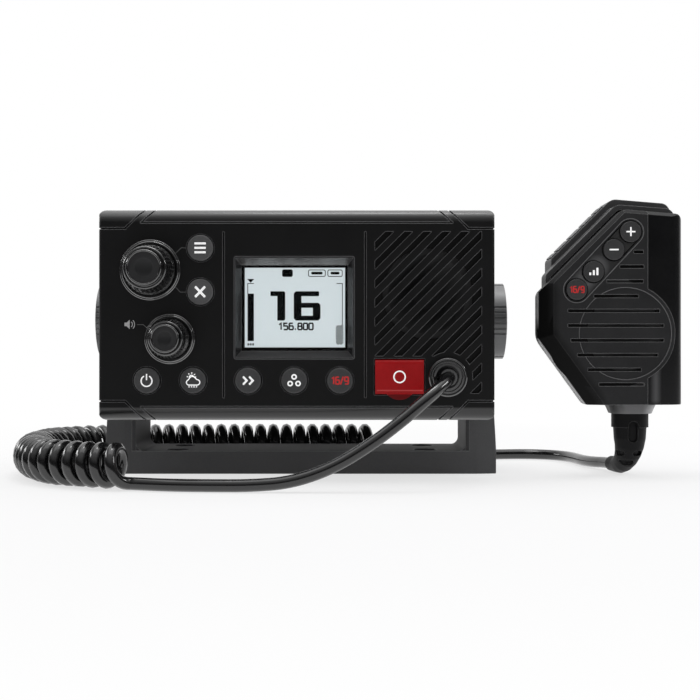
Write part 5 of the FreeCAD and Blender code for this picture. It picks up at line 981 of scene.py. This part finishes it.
# The key tray gets a light line round its edge as a painted highlight, its own slightly lighter floor, and a
# lighter lower end that is painted light.
MIC_TRAY = ((0.1391, 0.1038), (0.1166, 0.0796))
tone(bevel_black, zone(bevel_black, *MIC_TRAY, 0.0057), (0.17, 0.17, 0.172))
tone(bevel_black, zone(bevel_black, *MIC_TRAY, 0.0053), (0.032, 0.032, 0.033))
tone(bevel_black, zone(bevel_black, (0.1255, 0.0892), MIC_TRAY[1], 0.0053, 0.0036), (0.12, 0.12, 0.122))
# The cover's rim colour is a painted highlight along its edges.
cover_black = finish("glossy side cover", (0.003, 0.003, 0.0035), (0.005, 0.005, 0.0055), (0.20, 0.28),
                     grains=700.0, deep=0.000001, edge=0.0003, rim=(0.07, 0.07, 0.07), Specular_IOR_Level=0.3)
dress(bevel_black, "mic_front_shell")
dress(mic_black, "mic_back_shell")
dress(talk_black, "ptt_button")
# A lighter stripe down the lower part of the cover is a painted reflection.
COVER_HIGHLIGHT = ((0.1497, 0.0335), (0.1497, 0.0480))
tone(cover_black, zone(cover_black, *COVER_HIGHLIGHT, 0.0024, 0.0022), (0.075, 0.075, 0.077))
dress(cover_black, "mic_side_cover")

# Microphone keys. Four small round caps of black rubber stand in one slanting tray, over a keypad mat.
# Three have white marks and the last has red figures, all printed on top.
# The keys' rim colour is a painted highlight along their edges.
mic_key_black = finish("black key rubber", (0.024, 0.024, 0.025), (0.040, 0.040, 0.041), (0.42, 0.52),
                       grains=3000.0, deep=0.00001, edge=0.0003, rim=(0.12, 0.12, 0.12))
dress(mic_key_black, "mic_up_key", "mic_down_key", "mic_power_level_key", "mic_priority_key")
MIC_KEY_FRONT = (-0.04666, -0.04659)
plus = [block(-1.9, -0.3, 1.9, 0.3), block(-0.3, 0.3, 0.3, 1.9), block(-0.3, -1.9, 0.3, -0.3)]
minus = [block(-1.9, -0.3, 1.9, 0.3)]
level = [block(x - 0.42, -1.5, x + 0.42, top) for x, top in ((-1.5, -0.4), (0.0, 0.6), (1.5, 1.6))]
for body, x, z, strokes in (("mic_up", 0.1391, 0.1038, plus), ("mic_down", 0.1321, 0.0963, minus),
                            ("mic_level", 0.1236, 0.0871, level)):
    printed(body + "_mark", moved(x, z, strokes), MIC_KEY_FRONT, mark_white, body)
red_figures = figures("16/9", 0.1166, 0.0796, high=0.0025, wide=0.00125, gap=0.00048, thick=0.00050)
printed("mic_priority_figures", red_figures, MIC_KEY_FRONT, mark_red, "mic_priority")

# Strain relief. A tapering boot of black rubber at the microphone's foot, moulded on the cord, with slots
# that let it flex.
# The boot's rim colour is a painted highlight along its edges.
boot_rubber = finish("black boot rubber", (0.0035, 0.0035, 0.0040), (0.0060, 0.0060, 0.0065), (0.46, 0.56),
                     grains=1400.0, deep=0.00001, edge=0.0004, rim=(0.07, 0.07, 0.07), Specular_IOR_Level=0.15)
dress(boot_rubber, "mic_strain_relief")
